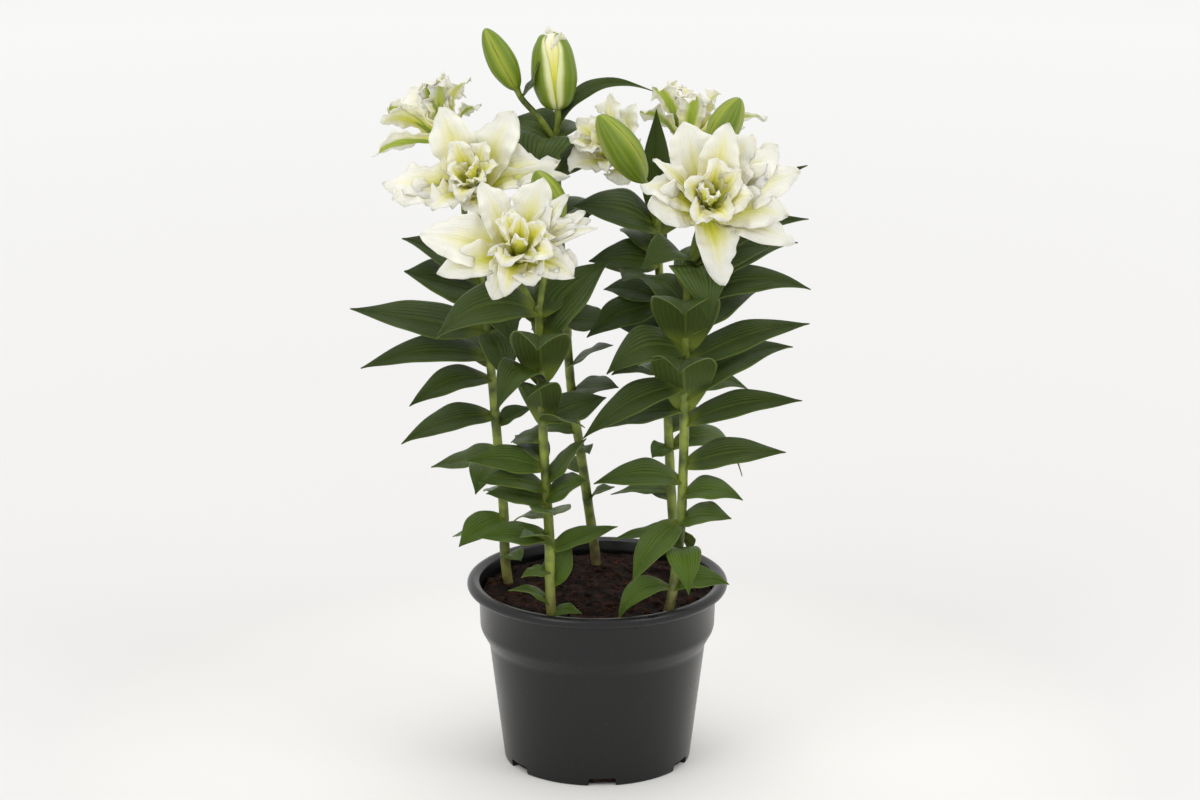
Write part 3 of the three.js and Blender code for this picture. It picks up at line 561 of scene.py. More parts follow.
def noseOf(path):  # the top of the bulb under a stem
    x, y, _ = path[0]
    share = bulb["ring"] / math.hypot(x, y)
    return Vector((x * share, y * share, bulb["nose"]))


def scalyBulb(name, path, flesh):
    b = bulb
    bm = newBmesh()
    nose = noseOf(path)
    tall = b["nose"] - b["bottom"]

    def onBulb(angle, t, share):
        radius = b["radius"] * share * math.sin(math.pi * min(1, t * 0.97 + 0.02)) ** 0.6
        height = b["bottom"] + tall * t
        return Vector((nose.x + radius * math.cos(angle), nose.y + radius * math.sin(angle), height)) * mm

    laySheet(bm, 20, 12, lambda u, t: onBulb(math.pi * u, 0.02 + 0.95 * t, 0.5), closeSeam=True)
    for whorl, (share, count, height) in enumerate(b["whorls"]):
        for i in range(count):
            middle = 2 * math.pi * (i + 0.5 * whorl) / count
            spread = 1.25 * math.pi / count

            def place(u, t):
                width = math.sin(math.pi * (0.12 + 0.88 * t) ** 1.2) ** 0.5
                sag = share * (1 - 0.06 * u * u)
                return onBulb(middle + spread * width * u, height * (0.03 + 0.94 * t), sag)

            laySheet(bm, 6, 8, place)
    finishPiece(bm, "scales_" + name, [flesh], ["bulb_" + name], thickness=1.2 * mm)


# Leaves and stems

leafLook = {
    "thickness": 0.7, "fold": 0.12, "wave": 1.2, "turn": 33, "columns": 14, "rows": 22,
    # the vein colour is painted shade for the vein grooves on the upper side
    "veins": 6, "deep": "#3d5012", "paleGreenAndGlow": "#5b781c", "foot": "#7d8c30", "veinToneAndShade": "#1c2a06",
    "marginColour": "#74863c", "patchSize": 22.22,
    # the pale greens, above and below, are partly random variation and partly painted light on the lower
    # leaves
    "under": "#3f4d1b", "underPaleAndGlow": "#5a6a25", "underVein": "#4d5b27",
}


def leafSurface(name, deep, paleGreenAndGlow, foot, veinToneAndShade, roughness, veinDepth):
    # Lily leaf: dark, smooth and glossy above with parallel veins drawn darker as painted shade in their
    # grooves, duller and paler below
    material, shader = newMaterial(name, {"IOR": 1.42, "Specular IOR Level": 0.42, "Subsurface Weight": 0.06})
    shader.inputs["Subsurface Radius"].default_value = (0.6 * mm, 1.2 * mm, 0.3 * mm)
    along, across = alongAndAcross(material)
    spot = addNode(material, "ShaderNodeTexCoord").outputs["Object"]
    patch = addNode(material, "ShaderNodeTexNoise", {},
                    {"Vector": spot, "Scale": scaleOf(leafLook["patchSize"]), "Detail": 5})
    tone = addNode(material, "ShaderNodeAttribute", {"attribute_name": "tone"}).outputs["Fac"]

    # Strong veins, as many to each half as leafLook says, and three fine ones between each two
    strong = addNode(material, "ShaderNodeMapRange", {},
                     {"Value": stripes(material, across, leafLook["veins"]), "From Min": 0.55, "From Max": 1})
    fine = stripes(material, across, 4 * leafLook["veins"])
    relief = addNode(material, "ShaderNodeMath", {"operation": "MULTIPLY_ADD"},
                     {0: fine, 1: 0.18, 2: strong.outputs[0]})
    # Random patches and the tone pick between the pale and the deep green; the low tone of the lower leaves
    # is painted light
    shade = addNode(material, "ShaderNodeMath", {"operation": "MULTIPLY_ADD"},
                    {0: patch.outputs["Fac"], 1: 0.5, 2: tone})
    blade = addNode(material, "ShaderNodeValToRGB", {}, {0: shade.outputs[0]}, [(0.2, paleGreenAndGlow), (0.95, deep)])
    # On the upper side the vein colour is painted shade in the grooves that the bump presses in; on the
    # underside it is the veins' own tone
    veinAndShadeShare = addNode(material, "ShaderNodeMath", {"operation": "MULTIPLY"},
                        {0: strong.outputs[0], 1: 0.65})
    veinedAndShaded = addNode(material, "ShaderNodeMix", {"data_type": "RGBA"},
                     {0: veinAndShadeShare.outputs[0], 6: blade.outputs["Color"], 7: linear(veinToneAndShade)})

    # The margin, the foot and the midrib are paler; the midrib fades towards the tip
    margin = addNode(material, "ShaderNodeMapRange", {},
                     {"Value": across, "From Min": 0.93, "From Max": 0.99, "To Max": 0.6})
    edged = addNode(material, "ShaderNodeMix", {"data_type": "RGBA"},
                    {0: margin.outputs[0], 6: veinedAndShaded.outputs[2], 7: linear(leafLook["marginColour"])})
    footShare = addNode(material, "ShaderNodeMapRange", {"interpolation_type": "SMOOTHSTEP"},
                        {"Value": along, "From Min": 0.03, "From Max": 0.2, "To Min": 0.9, "To Max": 0})
    ribShare = addNode(material, "ShaderNodeMapRange", {"interpolation_type": "SMOOTHSTEP"},
                       {"Value": across, "From Min": 0.01, "From Max": 0.07, "To Min": 0.35, "To Max": 0})
    ribFade = addNode(material, "ShaderNodeMapRange", {},
                      {"Value": along, "From Min": 0.1, "From Max": 0.9, "To Min": 1, "To Max": 0.2})
    rib = addNode(material, "ShaderNodeMath", {"operation": "MULTIPLY"},
                  {0: ribShare.outputs[0], 1: ribFade.outputs[0]})
    pale = addNode(material, "ShaderNodeMath", {"operation": "MAXIMUM"},
                   {0: footShare.outputs[0], 1: rib.outputs[0]})
    skin = addNode(material, "ShaderNodeMix", {"data_type": "RGBA"},
                   {0: pale.outputs[0], 6: edged.outputs[2], 7: linear(foot)})
    gloss = addNode(material, "ShaderNodeMapRange", {},
                    {"Value": patch.outputs["Fac"], "To Min": roughness - 0.08, "To Max": roughness + 0.1})
    bump = addNode(material, "ShaderNodeBump", {"invert": True},
                   {"Height": relief.outputs[0], "Strength": 0.8, "Distance": veinDepth * mm})
    wire(material, shader, {"Base Color": skin.outputs[2], "Roughness": gloss.outputs[0],
                            "Normal": bump.outputs[0]})
    return material


def leafOutline(t):
    return 0.16 * (1 - t) + math.sin(math.pi * t ** 0.85) ** (0.9 + 0.2 * t)


def addLeaf(bm, root, shape, index, tone):
    right, back, rise, width, arch = shape[:5]
    turn = shape[5] if len(shape) > 5 else leafLook["turn"]
    reach = Vector((right, back, rise))
    along = reach.normalized()
    lift = (up - along * along.z).normalized()
    sideways = right / math.hypot(right, back)
    roll = math.radians(turn * sideways * abs(sideways))
    side = along.cross(lift) * math.cos(roll) - lift * math.sin(roll)
    crown = root + reach * 0.45 + lift * (2 * arch * reach.length)
    tip = root + reach
    draw = random.Random(index)
    twist, phase = draw.uniform(-0.2, 0.2), draw.uniform(0, 6)

    def place(u, t):
        centre = root * (1 - t) ** 2 + crown * (2 * t * (1 - t)) + tip * t ** 2
        tangent = ((crown - root) * (1 - t) + (tip - crown) * t).normalized()
        across = Quaternion(tangent, twist * (t - 0.3)) @ side
        normal = across.cross(tangent).normalized()
        half = 0.5 * width * max(leafOutline(t), 0.02)
        x = abs(u)
        gutter = leafLook["fold"] * half * (1.6 - t) * x + 0.07 * half * math.sin(math.pi * x)
        ripple = x * leafLook["wave"] * math.sin(9 * t + index) * math.sin(math.pi * t)
        flutter = 0.5 * x ** 4 * math.sin(19 * t + phase + 2 * u) * math.sin(math.pi * t)
        return (centre + across * (u * half) + normal * (gutter + ripple + flutter)) * mm

    laySheet(bm, leafLook["columns"], leafLook["rows"], place, tone)


stemLook = {
    "radius": 3.7, "stalkRadius": 2.5, "ridges": 5, "columns": 20, "rows": 150,
    # the green and shade colours are a painted highlight and painted shade, laid out in patches on the stem
    "green": "#86943a", "shade": "#455318", "base": "#7f7748", "flush": "#5f4a35",
    "flushLength": 50, "patchSize": 14.29, "streakSize": (0.625, 0.625, 16.67), "streakDepth": 0.4,
}


def stemSkin():
    # Living stem: smooth yellow-green skin with fine lengthwise ridges, dull and flushed near the soil, with
    # painted light and shade in broad patches
    constants = {"IOR": 1.45, "Roughness": 0.42, "Subsurface Weight": 0.08}
    material, shader = newMaterial("living stem skin", constants)
    shader.inputs["Subsurface Radius"].default_value = (1 * mm, 1.4 * mm, 0.5 * mm)
    spot = addNode(material, "ShaderNodeTexCoord").outputs["Object"]
    height = addNode(material, "ShaderNodeSeparateXYZ", {}, {0: spot}).outputs[2]
    patch = addNode(material, "ShaderNodeTexNoise", {},
                    {"Vector": spot, "Scale": scaleOf(stemLook["patchSize"]), "Detail": 4})
    stretch = addNode(material, "ShaderNodeMapping", {},
                      {"Vector": spot, "Scale": [scaleOf(size) for size in stemLook["streakSize"]]})
    streak = addNode(material, "ShaderNodeTexNoise", {},
                     {"Vector": stretch.outputs[0], "Scale": 1, "Detail": 3})
    # Painted light and shade: noise patches swing the skin between the dark shade colour and the light green,
    # for the lit and shaded sides of the stem
    skin = addNode(material, "ShaderNodeValToRGB", {}, {0: patch.outputs["Fac"]}, [
        (0.36, stemLook["shade"]), (0.62, stemLook["green"])])
    foot = addNode(material, "ShaderNodeValToRGB", {}, {0: patch.outputs["Fac"]}, [
        (0.35, stemLook["flush"]), (0.6, stemLook["base"])])
    low, high = soil["height"] * mm, (soil["height"] + stemLook["flushLength"]) * mm
    footShare = addNode(material, "ShaderNodeMapRange", {"interpolation_type": "SMOOTHSTEP"},
                        {"Value": height, "From Min": low, "From Max": high, "To Min": 0.75, "To Max": 0})
    whole = addNode(material, "ShaderNodeMix", {"data_type": "RGBA"},
                    {0: footShare.outputs[0], 6: skin.outputs["Color"], 7: foot.outputs["Color"]})
    bump = addNode(material, "ShaderNodeBump", {}, {
        "Height": streak.outputs["Fac"], "Strength": 0.6, "Distance": stemLook["streakDepth"] * mm})
    wire(material, shader, {"Base Color": whole.outputs[2], "Normal": bump.outputs[0]})
    return material


def stemAt(path, height):  # where a stem is at a height, between the points it passes
    for low, high in zip(path, path[1:]):
        if high[2] >= height:
            break
    share = (height - low[2]) / (high[2] - low[2])
    return Vector(low).lerp(Vector(high), share)


def seatOf(head):  # the axis and the base of a bloom or bud
    if "throat" in head:
        axis = Vector(head["faces"]).normalized()
        return axis, Vector(head["throat"]) - axis * flower["throatDepth"]
    return (Vector(head["tip"]) - Vector(head["base"])).normalized(), Vector(head["base"])


def leafyStem(name, stem, skin, leafSides):
    path = stem["path"]
    top = Vector(path[-1])
    bm = newBmesh()
    nose = noseOf(path)
    points = [p * mm for p in [nose + up * 0.3, nose + up * 14] + [Vector(p) for p in path]]
    leafHeights = [row[0] for row in stem["leaves"]]
    low, high = points[0].z / mm, points[-1].z / mm

    def stemRadius(angle, t):
        height = low + (high - low) * t
        knuckle = sum(math.exp(-((height - h + 1) / 2.5) ** 2) for h in leafHeights if h > 145)
        swell = 1 + 0.02 * math.cos(stemLook["ridges"] * angle) + 0.05 * min(1, knuckle)
        return stemLook["radius"] * mm * swell * (1.08 - 0.2 * smoothStep(0.3, 1, t))

    rollTube(bm, points, stemRadius, stemLook["columns"], stemLook["rows"])
    heads = [h for h in list(blooms.values()) + list(buds.values()) if h["stem"] == name]
    for head in heads:
        axis, base = seatOf(head)
        route = [top - up * 8] + [Vector(p) for p in head["stalk"]] + [base - axis * 10, base + axis * 1.5]

        def stalkRadius(angle, t):
            swell = 1 + 0.3 * smoothStep(0.85, 1, t) + 0.04 * math.cos(3 * angle)
            return stemLook["stalkRadius"] * mm * swell

        rollTube(bm, [p * mm for p in route], stalkRadius, 16, 30)
    finishPiece(bm, "stalks_" + name, [skin], ["stem_" + name])

    bm = newBmesh()
    draw = random.Random(name)
    for index, row in enumerate(stem["leaves"]):
        # Painted light: leaves low on the stem get a low tone and so the pale green, for light glowing
        # through them; the random part is real variation
        tone = 0.15 + 0.6 * smoothStep(200, 320, row[0]) + draw.uniform(-0.1, 0.15)
        addLeaf(bm, stemAt(path, row[0]), row[1:], index, tone)
    for head in heads:
        if "bract" in head:
            axis, base = seatOf(head)
            addLeaf(bm, base - axis * 9, head["bract"], 0, 0.7)
    finishPiece(bm, "leaves_" + name, leafSides, ["stem_" + name], leafLook["thickness"] * mm)


# Blooms: petals in whorls round a short tube, creamy white with a yellow-green throat

flower = {
    "throatDepth": 42, "veins": 9, "tubeRadius": 9, "tubeLength": 26, "cup": 0.14,
    "thickness": 0.6, "columns": 20, "rows": 34, "ruffle": 0.5, "crumple": 1.2, "petaloids": 6,
    # the vein colour is partly the veins' own tone and partly painted shade in their grooves
    "white": "#eeebda", "cream": "#ede7b2", "throat": "#e3e056", "deepThroat": "#d2da38", "veinToneAndShade": "#cfc99a",
    "backRib": "#a6bd3c", "backGreen": "#7f9a22", "patchSize": 16.67, "grainSize": 1.111, "veinDepth": 0.2,
}


def petalSurface(name, isBack):
    # Living petal: thin, soft and slightly see-through, with fine lengthwise veins, drawn a little darker as
    # painted shade in their grooves, and a matte sheen.
    # Its cells are far too fine to show, so their grain is drawn about a millimetre wide.
    material, shader = newMaterial(name, {"IOR": 1.4, "Roughness": 0.5, "Specular IOR Level": 0.35,
                                          "Subsurface Weight": 0.6, "Sheen Weight": 0.08})
    shader.inputs["Subsurface Radius"].default_value = (3.6 * mm, 3.4 * mm, 2.6 * mm)
    shader.inputs["Subsurface Scale"].default_value = 1
    along, across = alongAndAcross(material)
    spot = addNode(material, "ShaderNodeTexCoord").outputs["Object"]
    patch = addNode(material, "ShaderNodeTexNoise", {},
                    {"Vector": spot, "Scale": scaleOf(flower["patchSize"]), "Detail": 4})
    tone = addNode(material, "ShaderNodeAttribute", {"attribute_name": "tone"}).outputs["Fac"]

    # Colour runs from the claw to the tip, and reaches further up along the middle of inner petals
    inward = addNode(material, "ShaderNodeMath", {"operation": "MULTIPLY_ADD"},
                     {0: across, 1: 0.42, 2: along})
    wander = addNode(material, "ShaderNodeMath", {"operation": "MULTIPLY_ADD"},
                     {0: patch.outputs["Fac"], 1: 0.12, 2: inward.outputs[0]})
    drawn = addNode(material, "ShaderNodeMath", {"operation": "MULTIPLY_ADD"},
                    {0: tone, 1: -0.26, 2: wander.outputs[0]})
    colour = addNode(material, "ShaderNodeValToRGB", {}, {0: drawn.outputs[0]}, [
        (0.3, flower["deepThroat"]), (0.52, flower["throat"]), (0.75, flower["cream"]),
        (0.97, flower["white"])]).outputs["Color"]
    if isBack:
        # Outer petals carry a green rib along the middle of the back
        ribShare = addNode(material, "ShaderNodeMapRange", {"interpolation_type": "SMOOTHSTEP"},
                           {"Value": across, "From Min": 0.18, "From Max": 0.6, "To Min": 1, "To Max": 0})
        outer = addNode(material, "ShaderNodeMapRange", {},
                        {"Value": tone, "From Min": 0.35, "From Max": 0.7, "To Min": 1, "To Max": 0.1})
        greenShare = addNode(material, "ShaderNodeMath", {"operation": "MULTIPLY"},
                             {0: ribShare.outputs[0], 1: outer.outputs[0]})
        rib = addNode(material, "ShaderNodeValToRGB", {}, {0: along}, [
            (0.3, flower["backGreen"]), (0.85, flower["backRib"])])
        colour = addNode(material, "ShaderNodeMix", {"data_type": "RGBA"},
                         {0: greenShare.outputs[0], 6: colour, 7: rib.outputs["Color"]}).outputs[2]
    # Vein lines: partly the veins' own tone, partly painted shade along the grooves that the bump below
    # presses in
    veins = stripes(material, across, flower["veins"])
    veinAndShadeShare = addNode(material, "ShaderNodeMapRange", {},
                        {"Value": veins, "From Min": 0.4, "From Max": 1, "To Max": 0.14})
    veinedAndShaded = addNode(material, "ShaderNodeMix", {"data_type": "RGBA"},
                     {0: veinAndShadeShare.outputs[0], 6: colour, 7: linear(flower["veinToneAndShade"])})
    grain = addNode(material, "ShaderNodeTexNoise", {},
                    {"Vector": spot, "Scale": scaleOf(flower["grainSize"]), "Detail": 2})
    relief = addNode(material, "ShaderNodeMath", {"operation": "MULTIPLY_ADD"},
                     {0: grain.outputs["Fac"], 1: 0.5, 2: veins})
    bump = addNode(material, "ShaderNodeBump", {"invert": True},
                   {"Height": relief.outputs[0], "Strength": 0.5, "Distance": flower["veinDepth"] * mm})
    wire(material, shader, {"Base Color": veinedAndShaded.outputs[2], "Normal": bump.outputs[0]})
    return material


def petalOutline(t):
    return 0.2 * (1 - t) + math.sin(math.pi * t ** 1.5) ** 0.65


def addPetal(bm, head, row, layer, seed, columns, rows):
    axis, base = seatOf(head)
    throat = Vector(head["throat"])
    reach = Vector(row[:3])
    width = row[3]
    outward = reach - axis * reach.dot(axis)
    spread = outward.length
    outward.normalize()
    side = outward.cross(axis)
    tube = flower["tubeLength"]
    start = base + axis * (tube - 5) + outward * (3 - 2 * layer)
    claw = base + axis * (tube + 8 * layer) + outward * (14 - 9 * layer)
    bend = throat + axis * (20 * layer + 0.08 * spread) + reach * 0.5
    tip = throat + reach
    draw = random.Random(seed)
    twist = draw.uniform(-1, 1) * (0.2 + 0.5 * layer)
    phases = [draw.uniform(0, 6.28) for _ in range(4)]
    waves = draw.uniform(2.2, 3.8)
    ruffle = flower["ruffle"] * width ** 0.6 * draw.uniform(0.7, 1.2)
    curl = draw.uniform(0.1, 0.5)
    channel = draw.uniform(0.05, 0.3) + 0.3 * layer
    seedShift = draw.uniform(0, 50)

    def place(u, t):
        s = 1 - t
        centre = start * s ** 3 + claw * (3 * s * s * t) + bend * (3 * s * t * t) + tip * t ** 3
        tangent = ((claw - start) * s * s + (bend - claw) * (2 * s * t) + (tip - bend) * t * t).normalized()
        across = Quaternion(tangent, twist * t) @ side
        normal = across.cross(tangent).normalized()
        x = abs(u)
        edge = 0 if u < 0 else 1
        wavy = math.sin(2 * math.pi * (waves * t + 0.13 * math.sin(7 * t + phases[2 + edge])) + phases[edge])
        fine = math.sin(2 * math.pi * 2.7 * waves * t + phases[2 + edge])
        half = 0.5 * width * max(petalOutline(t), 0.03) * (1 + (0.1 * wavy + 0.06 * fine) * x * x * t)
        lift = flower["cup"] * half * u * u * (1.5 - t) + channel * half * x * (1.1 - t)  # the hollow
        lift += ruffle * x * x * smoothStep(0.1, 0.7, t) * (wavy + 0.4 * fine)  # the ruffled edge
        lift -= curl * half * x * x * smoothStep(0.6, 1, t)  # the tip turns out
        lift -= 1.1 * math.exp(-(u / 0.12) ** 2) * math.sin(math.pi * t)  # the groove of the midrib
        lift += 0.4 * math.cos(3 * math.pi * u) * math.sin(math.pi * t)  # lengthwise folds
        lift += 0.4 * math.sin(5 * math.pi * u + phases[0] + 2 * t) * math.sin(math.pi * t)
        spot = centre + across * (u * half)
        crumple = noise.noise(spot * 0.09 + Vector((seedShift, 0, 0)))
        lift += flower["crumple"] * crumple * smoothStep(0.2, 0.8, t)
        return (spot + normal * lift) * mm

    laySheet(bm, columns, rows, place, layer)


def openBloom(name, head, petalSides, tubeSkin):
    bm = newBmesh()
    petals = head["petals"]
    last = len(petals) - 1
    for index, row in enumerate(petals):
        addPetal(bm, head, row, index / last, name + str(index), flower["columns"], flower["rows"])
    # Small crumpled petals crowd the throat
    draw = random.Random(name)
    axis = seatOf(head)[0]
    sideways = axis.cross(up).normalized()
    for index in range(head.get("petaloids", flower["petaloids"])):
        lean = Quaternion(axis, 2.4 * index + draw.uniform(-0.4, 0.4)) @ sideways
        reach = axis * draw.uniform(2, 16) + lean * draw.uniform(12, 30)
        row = list(reach) + [draw.uniform(9, 14)]
        addPetal(bm, head, row, draw.uniform(0.6, 1), name + "inner" + str(index), 12, 20)
    finishPiece(bm, "petals_" + name, petalSides, ["bloom_" + name], flower["thickness"] * mm)

    # The short tube that the petals rise from, ribbed where each outer petal runs down into it
    axis, base = seatOf(head)
    bm = newBmesh()
    profile = [(0, 0), (0.3, 0), (0.5, 0.2), (0.8, 0.55), (1.0, 0.95), (0.6, 1.05), (0, 1.08)]
    points = [Vector((share * flower["tubeRadius"], 0, t * flower["tubeLength"])) for share, t in profile]
    turn = up.rotation_difference(axis)

    def place(u, t):
        spot = curvePoint(points, t)
        rib = 1 + 0.07 * math.cos(6 * math.pi * u)
        angle = math.pi * u
        radius = max(0, spot.x) * rib
        return (base + turn @ Vector((radius * math.cos(angle), radius * math.sin(angle), spot.z))) * mm

    laySheet(bm, 48, 24, place, closeSeam=True)
    finishPiece(bm, "tube_" + name, [tubeSkin], ["bloom_" + name])


# Buds: three green-ribbed outer petals closed over each other

bud = {
    "closed": [(0, 0), (0.28, 0), (0.68, 0.12), (1.0, 0.36), (0.96, 0.6), (0.68, 0.82), (0.3, 0.96), (0, 1)],
    "open": [(0, 0), (0.3, 0), (0.7, 0.1), (1.0, 0.36), (0.98, 0.6), (0.82, 0.82), (0.48, 0.95), (0, 1)],
    "ridge": 0.07, "seam": 0.05, "columns": 96, "rows": 48,
    "rib": "#64791a", "flank": "#788d20", "margin": "#93a034", "seamColour": "#5c5a1c",
    "footGreen": "#67801d", "cream": "#dcdfa6", "patchSize": 9.091, "lines": 42, "lineDepth": 0.1,
    "frills": [(-17, -5, 32, 15), (14, -5, 30, 15), (3, -9, 56, 16), (-6, 4, 57, 14)],  # as a petal row
}


def budSkin(name, seam, margin, repeats):
    # Closed bud: smooth waxy skin, deep green along the ribs and pale beside the seams
    material, shader = newMaterial(name, {"IOR": 1.42, "Roughness": 0.38, "Subsurface Weight": 0.15})
    shader.inputs["Subsurface Radius"].default_value = (1.2 * mm, 1.6 * mm, 0.6 * mm)
    sheet = addNode(material, "ShaderNodeUVMap", {"uv_map": "UVMap"}).outputs[0]
    place = addNode(material, "ShaderNodeSeparateXYZ", {}, {0: sheet})
    around, along = place.outputs[0], place.outputs[1]
    thirds = addNode(material, "ShaderNodeMath", {"operation": "MULTIPLY"}, {0: around, 1: repeats})
    fromSeam = addNode(material, "ShaderNodeMath", {"operation": "PINGPONG"}, {0: thirds.outputs[0], 1: 0.5})
    spot = addNode(material, "ShaderNodeTexCoord").outputs["Object"]
    patch = addNode(material, "ShaderNodeTexNoise", {},
                    {"Vector": spot, "Scale": scaleOf(bud["patchSize"]), "Detail": 4})
    wander = addNode(material, "ShaderNodeMath", {"operation": "MULTIPLY_ADD"},
                     {0: patch.outputs["Fac"], 1: 0.06, 2: fromSeam.outputs[0]})
    bands = addNode(material, "ShaderNodeValToRGB", {}, {0: wander.outputs[0]}, [
        (0.03, seam), (0.055, margin), (0.13, margin), (0.24, bud["flank"]), (0.36, bud["rib"]),
        (0.47, bud["flank"]), (0.5, bud["rib"])])
    footShare = addNode(material, "ShaderNodeMapRange", {"interpolation_type": "SMOOTHSTEP"},
                        {"Value": along, "From Min": 0.02, "From Max": 0.3, "To Min": 0.7, "To Max": 0})
    tipShare = addNode(material, "ShaderNodeMapRange", {"interpolation_type": "SMOOTHSTEP"},
                       {"Value": along, "From Min": 0.85, "From Max": 1, "To Max": 0.6})
    ends = addNode(material, "ShaderNodeMath", {"operation": "MAXIMUM"},
                   {0: footShare.outputs[0], 1: tipShare.outputs[0]})
    whole = addNode(material, "ShaderNodeMix", {"data_type": "RGBA"},
                    {0: ends.outputs[0], 6: bands.outputs["Color"], 7: linear(bud["footGreen"])})
    lines = stripes(material, around, bud["lines"])
    bump = addNode(material, "ShaderNodeBump", {},
                   {"Height": lines, "Strength": 0.25, "Distance": bud["lineDepth"] * mm})
    wire(material, shader, {"Base Color": whole.outputs[2], "Normal": bump.outputs[0]})
    return material


def budSurface(head, u, t, share=1.0):
    # A point on a bud: three ridges with a narrow groove along each seam
    axis, base = seatOf(head)
    length = (Vector(head["tip"]) - base).length
    points = [Vector((radius, 0, height)) for radius, height in bud[head.get("profile", "closed")]]
    spot = curvePoint(points, t)
    angle = math.pi * u
    groove = math.exp(-(math.cos(1.5 * angle) / 0.16) ** 2)
    swell = 1 + bud["ridge"] * math.cos(3 * angle) - bud["seam"] * groove * math.sin(math.pi * t)
    radius = max(0, spot.x) * 0.5 * head["width"] * swell * share
    turned = angle + math.radians(head["turn"])
    turn = up.rotation_difference(axis)
    flat = Vector((radius * math.cos(turned), radius * math.sin(turned), spot.z * length))
    return base + turn @ flat, turn @ Vector((math.cos(turned), math.sin(turned), 0))


def closedBud(name, head, skin):
    bm = newBmesh()
    laySheet(bm, bud["columns"], bud["rows"], lambda u, t: budSurface(head, u, t)[0] * mm, closeSeam=True)
    finishPiece(bm, "sepals_" + name, [skin], ["bud_" + name])


def openingBud(name, head, skin, coreSkin, petalSides):
    # Pale inner petals show between three loosened green-ribbed outer ones
    node = ["bud_" + name]
    bm = newBmesh()
    laySheet(bm, bud["columns"], bud["rows"], lambda u, t: budSurface(head, u, t, 0.9)[0] * mm,
             tone=0.7, closeSeam=True)
    finishPiece(bm, "core_" + name, [coreSkin], node)
    axis, base = seatOf(head)
    bm = newBmesh()
    for third in range(3):
        draw = random.Random(third)
        phase = draw.uniform(0, 6)

        def place(u, t):
            spread = 0.31 * (1 - 0.45 * smoothStep(0.35, 1, t))
            ripple = 0.02 * abs(u) ** 2 * math.sin(13 * t + phase) * t
            reach = 0.02 + 0.93 * t
            point, outward = budSurface(head, 2 * third / 3 + u * spread + ripple, reach, 0.95)
            curl = 1.2 * abs(u) ** 2 * math.sin(9 * t + phase + u) * t + 2.5 * smoothStep(0.8, 1, t)
            return (point + outward * max(0, curl)) * mm

        laySheet(bm, 22, 40, place)
    finishPiece(bm, "sepals_" + name, [skin, coreSkin], node, thickness=1.1 * mm)
    bm = newBmesh()
    for index, (right, back, rise, width) in enumerate(bud["frills"]):
        reach = Vector((right, back, rise))
        start = base + axis * 8
        outward = (reach - axis * reach.dot(axis)).normalized()
        side = outward.cross(axis)
        crown = start + reach * 0.5 + axis * 5
        tip = start + reach

        def place(u, t):
            centre = start * (1 - t) ** 2 + crown * (2 * t * (1 - t)) + tip * t ** 2
            wavy = math.sin(8 * t + 3 * u + index)
            half = 0.5 * width * max(petalOutline(t), 0.05)
            return (centre + side * (u * half) + outward * (0.9 * u * u * t * wavy + 1.5 * t ** 3)) * mm

        laySheet(bm, 10, 16, place, 0.6)
    finishPiece(bm, "frills_" + name, petalSides, node, thickness=0.7 * mm)


# The whole plant

def growPlants():
    flesh = fleshyScale()
    for name, stem in stems.items():
        scalyBulb(name, stem["path"], flesh)
    skin = stemSkin()
    leafSides = [
        leafSurface("lily leaf, upper side", leafLook["deep"], leafLook["paleGreenAndGlow"], leafLook["foot"],
                    leafLook["veinToneAndShade"], 0.34, 0.6),
        leafSurface("lily leaf, underside", leafLook["under"], leafLook["underPaleAndGlow"], leafLook["foot"],
                    leafLook["underVein"], 0.52, 0.3),
    ]
    for name, stem in stems.items():
        leafyStem(name, stem, skin, leafSides)
    print("stems and leaves done")
    petalSides = [petalSurface("lily petal, inner side", False), petalSurface("lily petal, outer side", True)]
    for name, head in blooms.items():
        openBloom(name, head, petalSides, petalSides[1])
    print("blooms done")
    green = budSkin("lily bud, closed", bud["seamColour"], bud["margin"], 3)
    loose = budSkin("lily bud, loosened outer petal", bud["cream"], bud["cream"], 1)
    core = petalSurface("lily petal, still folded", False)
    for name, head in buds.items():
        if name == "opening":
            openingBud(name, head, loose, core, petalSides)
        else:
            closedBud(name, head, green)
    print("buds done")


# The photograph's setting: a pale sweep, soft light from above and both sides, and a long lens

stage = {
    "floorNearPaintedLight": "#f2f1ee", "floorMiddle": "#e2e1e0", "floorRear": "#e7e6e6", "floorFarPaintedLight": "#fafafa",
    "floorSize": 24, "fadeRadius": 3, "worldColour": "#fafaf9", "worldLight": 0.96,
    "lens": 150, "cameraPlace": (0.0022, -3.8147, 1.4775), "cameraPitch": 17.143,
    "lamps": [  # where it stands, how wide and how high it is, and its power
        ((-1.5, -1.7, 2.0), 1.4, 1.4, 14), ((1.7, -1.2, 1.9), 1.2, 1.4, 10), ((0.1, 0.4, 2.4), 1.6, 1.0, 9),
    ],
}


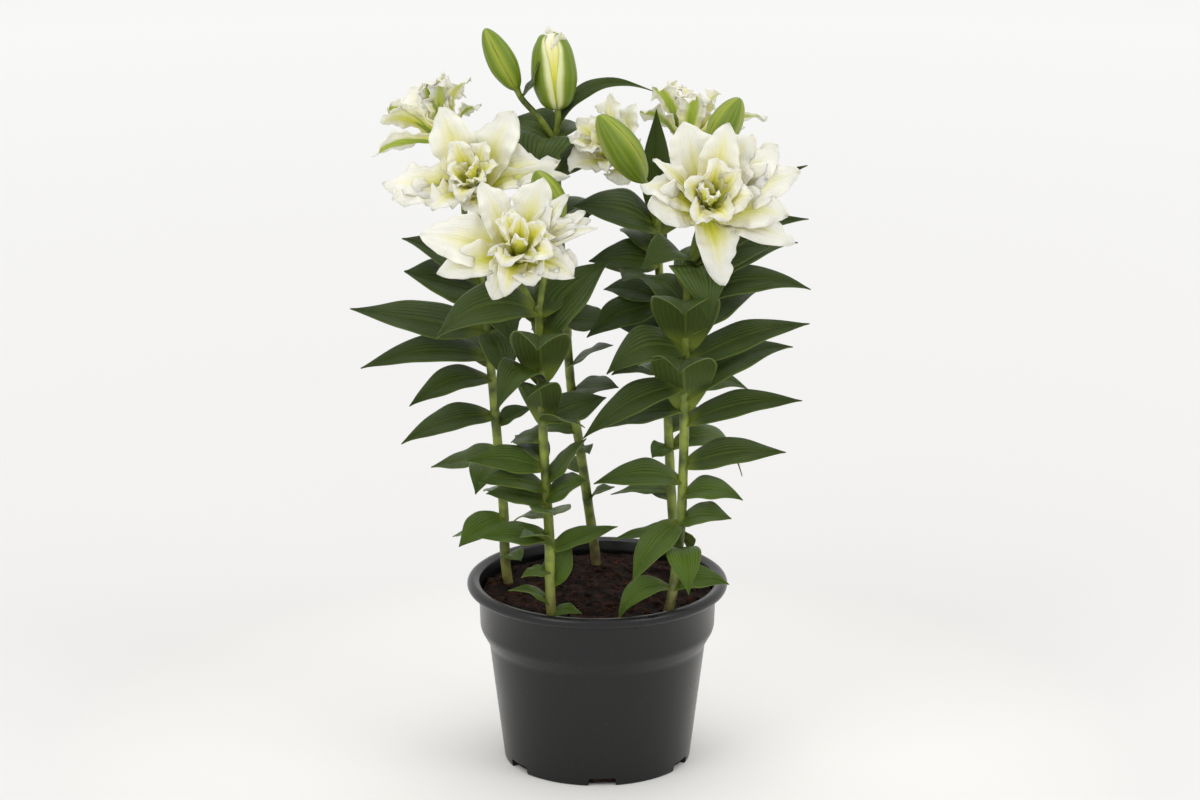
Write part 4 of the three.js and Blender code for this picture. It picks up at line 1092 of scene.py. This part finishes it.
def sweepPaper():
    # Matte white background paper with painted light: brighter under the pot to lift the pot's shadow, and
    # brighter far behind it where the lamps fall off
    material, shader = newMaterial("matte background paper", {"Roughness": 0.95, "Specular IOR Level": 0.1})
    spot = addNode(material, "ShaderNodeTexCoord").outputs["Object"]
    away = addNode(material, "ShaderNodeVectorMath", {"operation": "LENGTH"}, {0: spot})
    share = addNode(material, "ShaderNodeMapRange", {},
                    {"Value": away.outputs["Value"], "From Max": stage["fadeRadius"]})
    # Painted light: the near and far colours are brighter than the paper between them, to even out shadow and
    # lamp falloff
    colour = addNode(material, "ShaderNodeValToRGB", {}, {0: share.outputs[0]}, [
        (0.06, stage["floorNearPaintedLight"]), (0.15, stage["floorMiddle"]), (0.36, stage["floorRear"]),
        (0.9, stage["floorFarPaintedLight"])])
    wire(material, shader, {"Base Color": colour.outputs["Color"]})
    return material


def setStage():
    bm = newBmesh()
    bmesh.ops.create_grid(bm, x_segments=2, y_segments=2, size=stage["floorSize"] / 2)
    mesh = bpy.data.meshes.new("floor")
    bm.to_mesh(mesh)
    bm.free()
    floor = bpy.data.objects.new("floor", mesh)
    mesh.materials.append(sweepPaper())
    bpy.context.scene.collection.objects.link(floor)
    world = bpy.data.worlds.new("soft studio")
    world.use_nodes = True
    world.node_tree.nodes["Background"].inputs["Color"].default_value = linear(stage["worldColour"])
    world.node_tree.nodes["Background"].inputs["Strength"].default_value = stage["worldLight"]
    bpy.context.scene.world = world
    for index, (spot, width, height, power) in enumerate(stage["lamps"]):
        light = bpy.data.lights.new("softbox %d" % index, "AREA")
        light.shape = "RECTANGLE"
        light.size = width
        light.size_y = height
        light.energy = power
        lamp = bpy.data.objects.new("softbox %d" % index, light)
        lamp.location = spot
        aim = Vector((0, 0, 0.25)) - Vector(spot)
        lamp.rotation_euler = aim.to_track_quat("-Z", "Y").to_euler()
        bpy.context.scene.collection.objects.link(lamp)
    eye = bpy.data.cameras.new("camera")
    eye.lens = stage["lens"]
    eye.sensor_width = 36
    eye.clip_end = 100
    camera = bpy.data.objects.new("camera", eye)
    camera.location = stage["cameraPlace"]
    camera.rotation_euler = (math.radians(90 - stage["cameraPitch"]), 0, 0)
    bpy.context.scene.collection.objects.link(camera)
    bpy.context.scene.camera = camera
    bpy.context.scene.view_settings.view_transform = "Standard"
    print("stage done")


nurseryPot()
pottingSoil()
growPlants()
setStage()
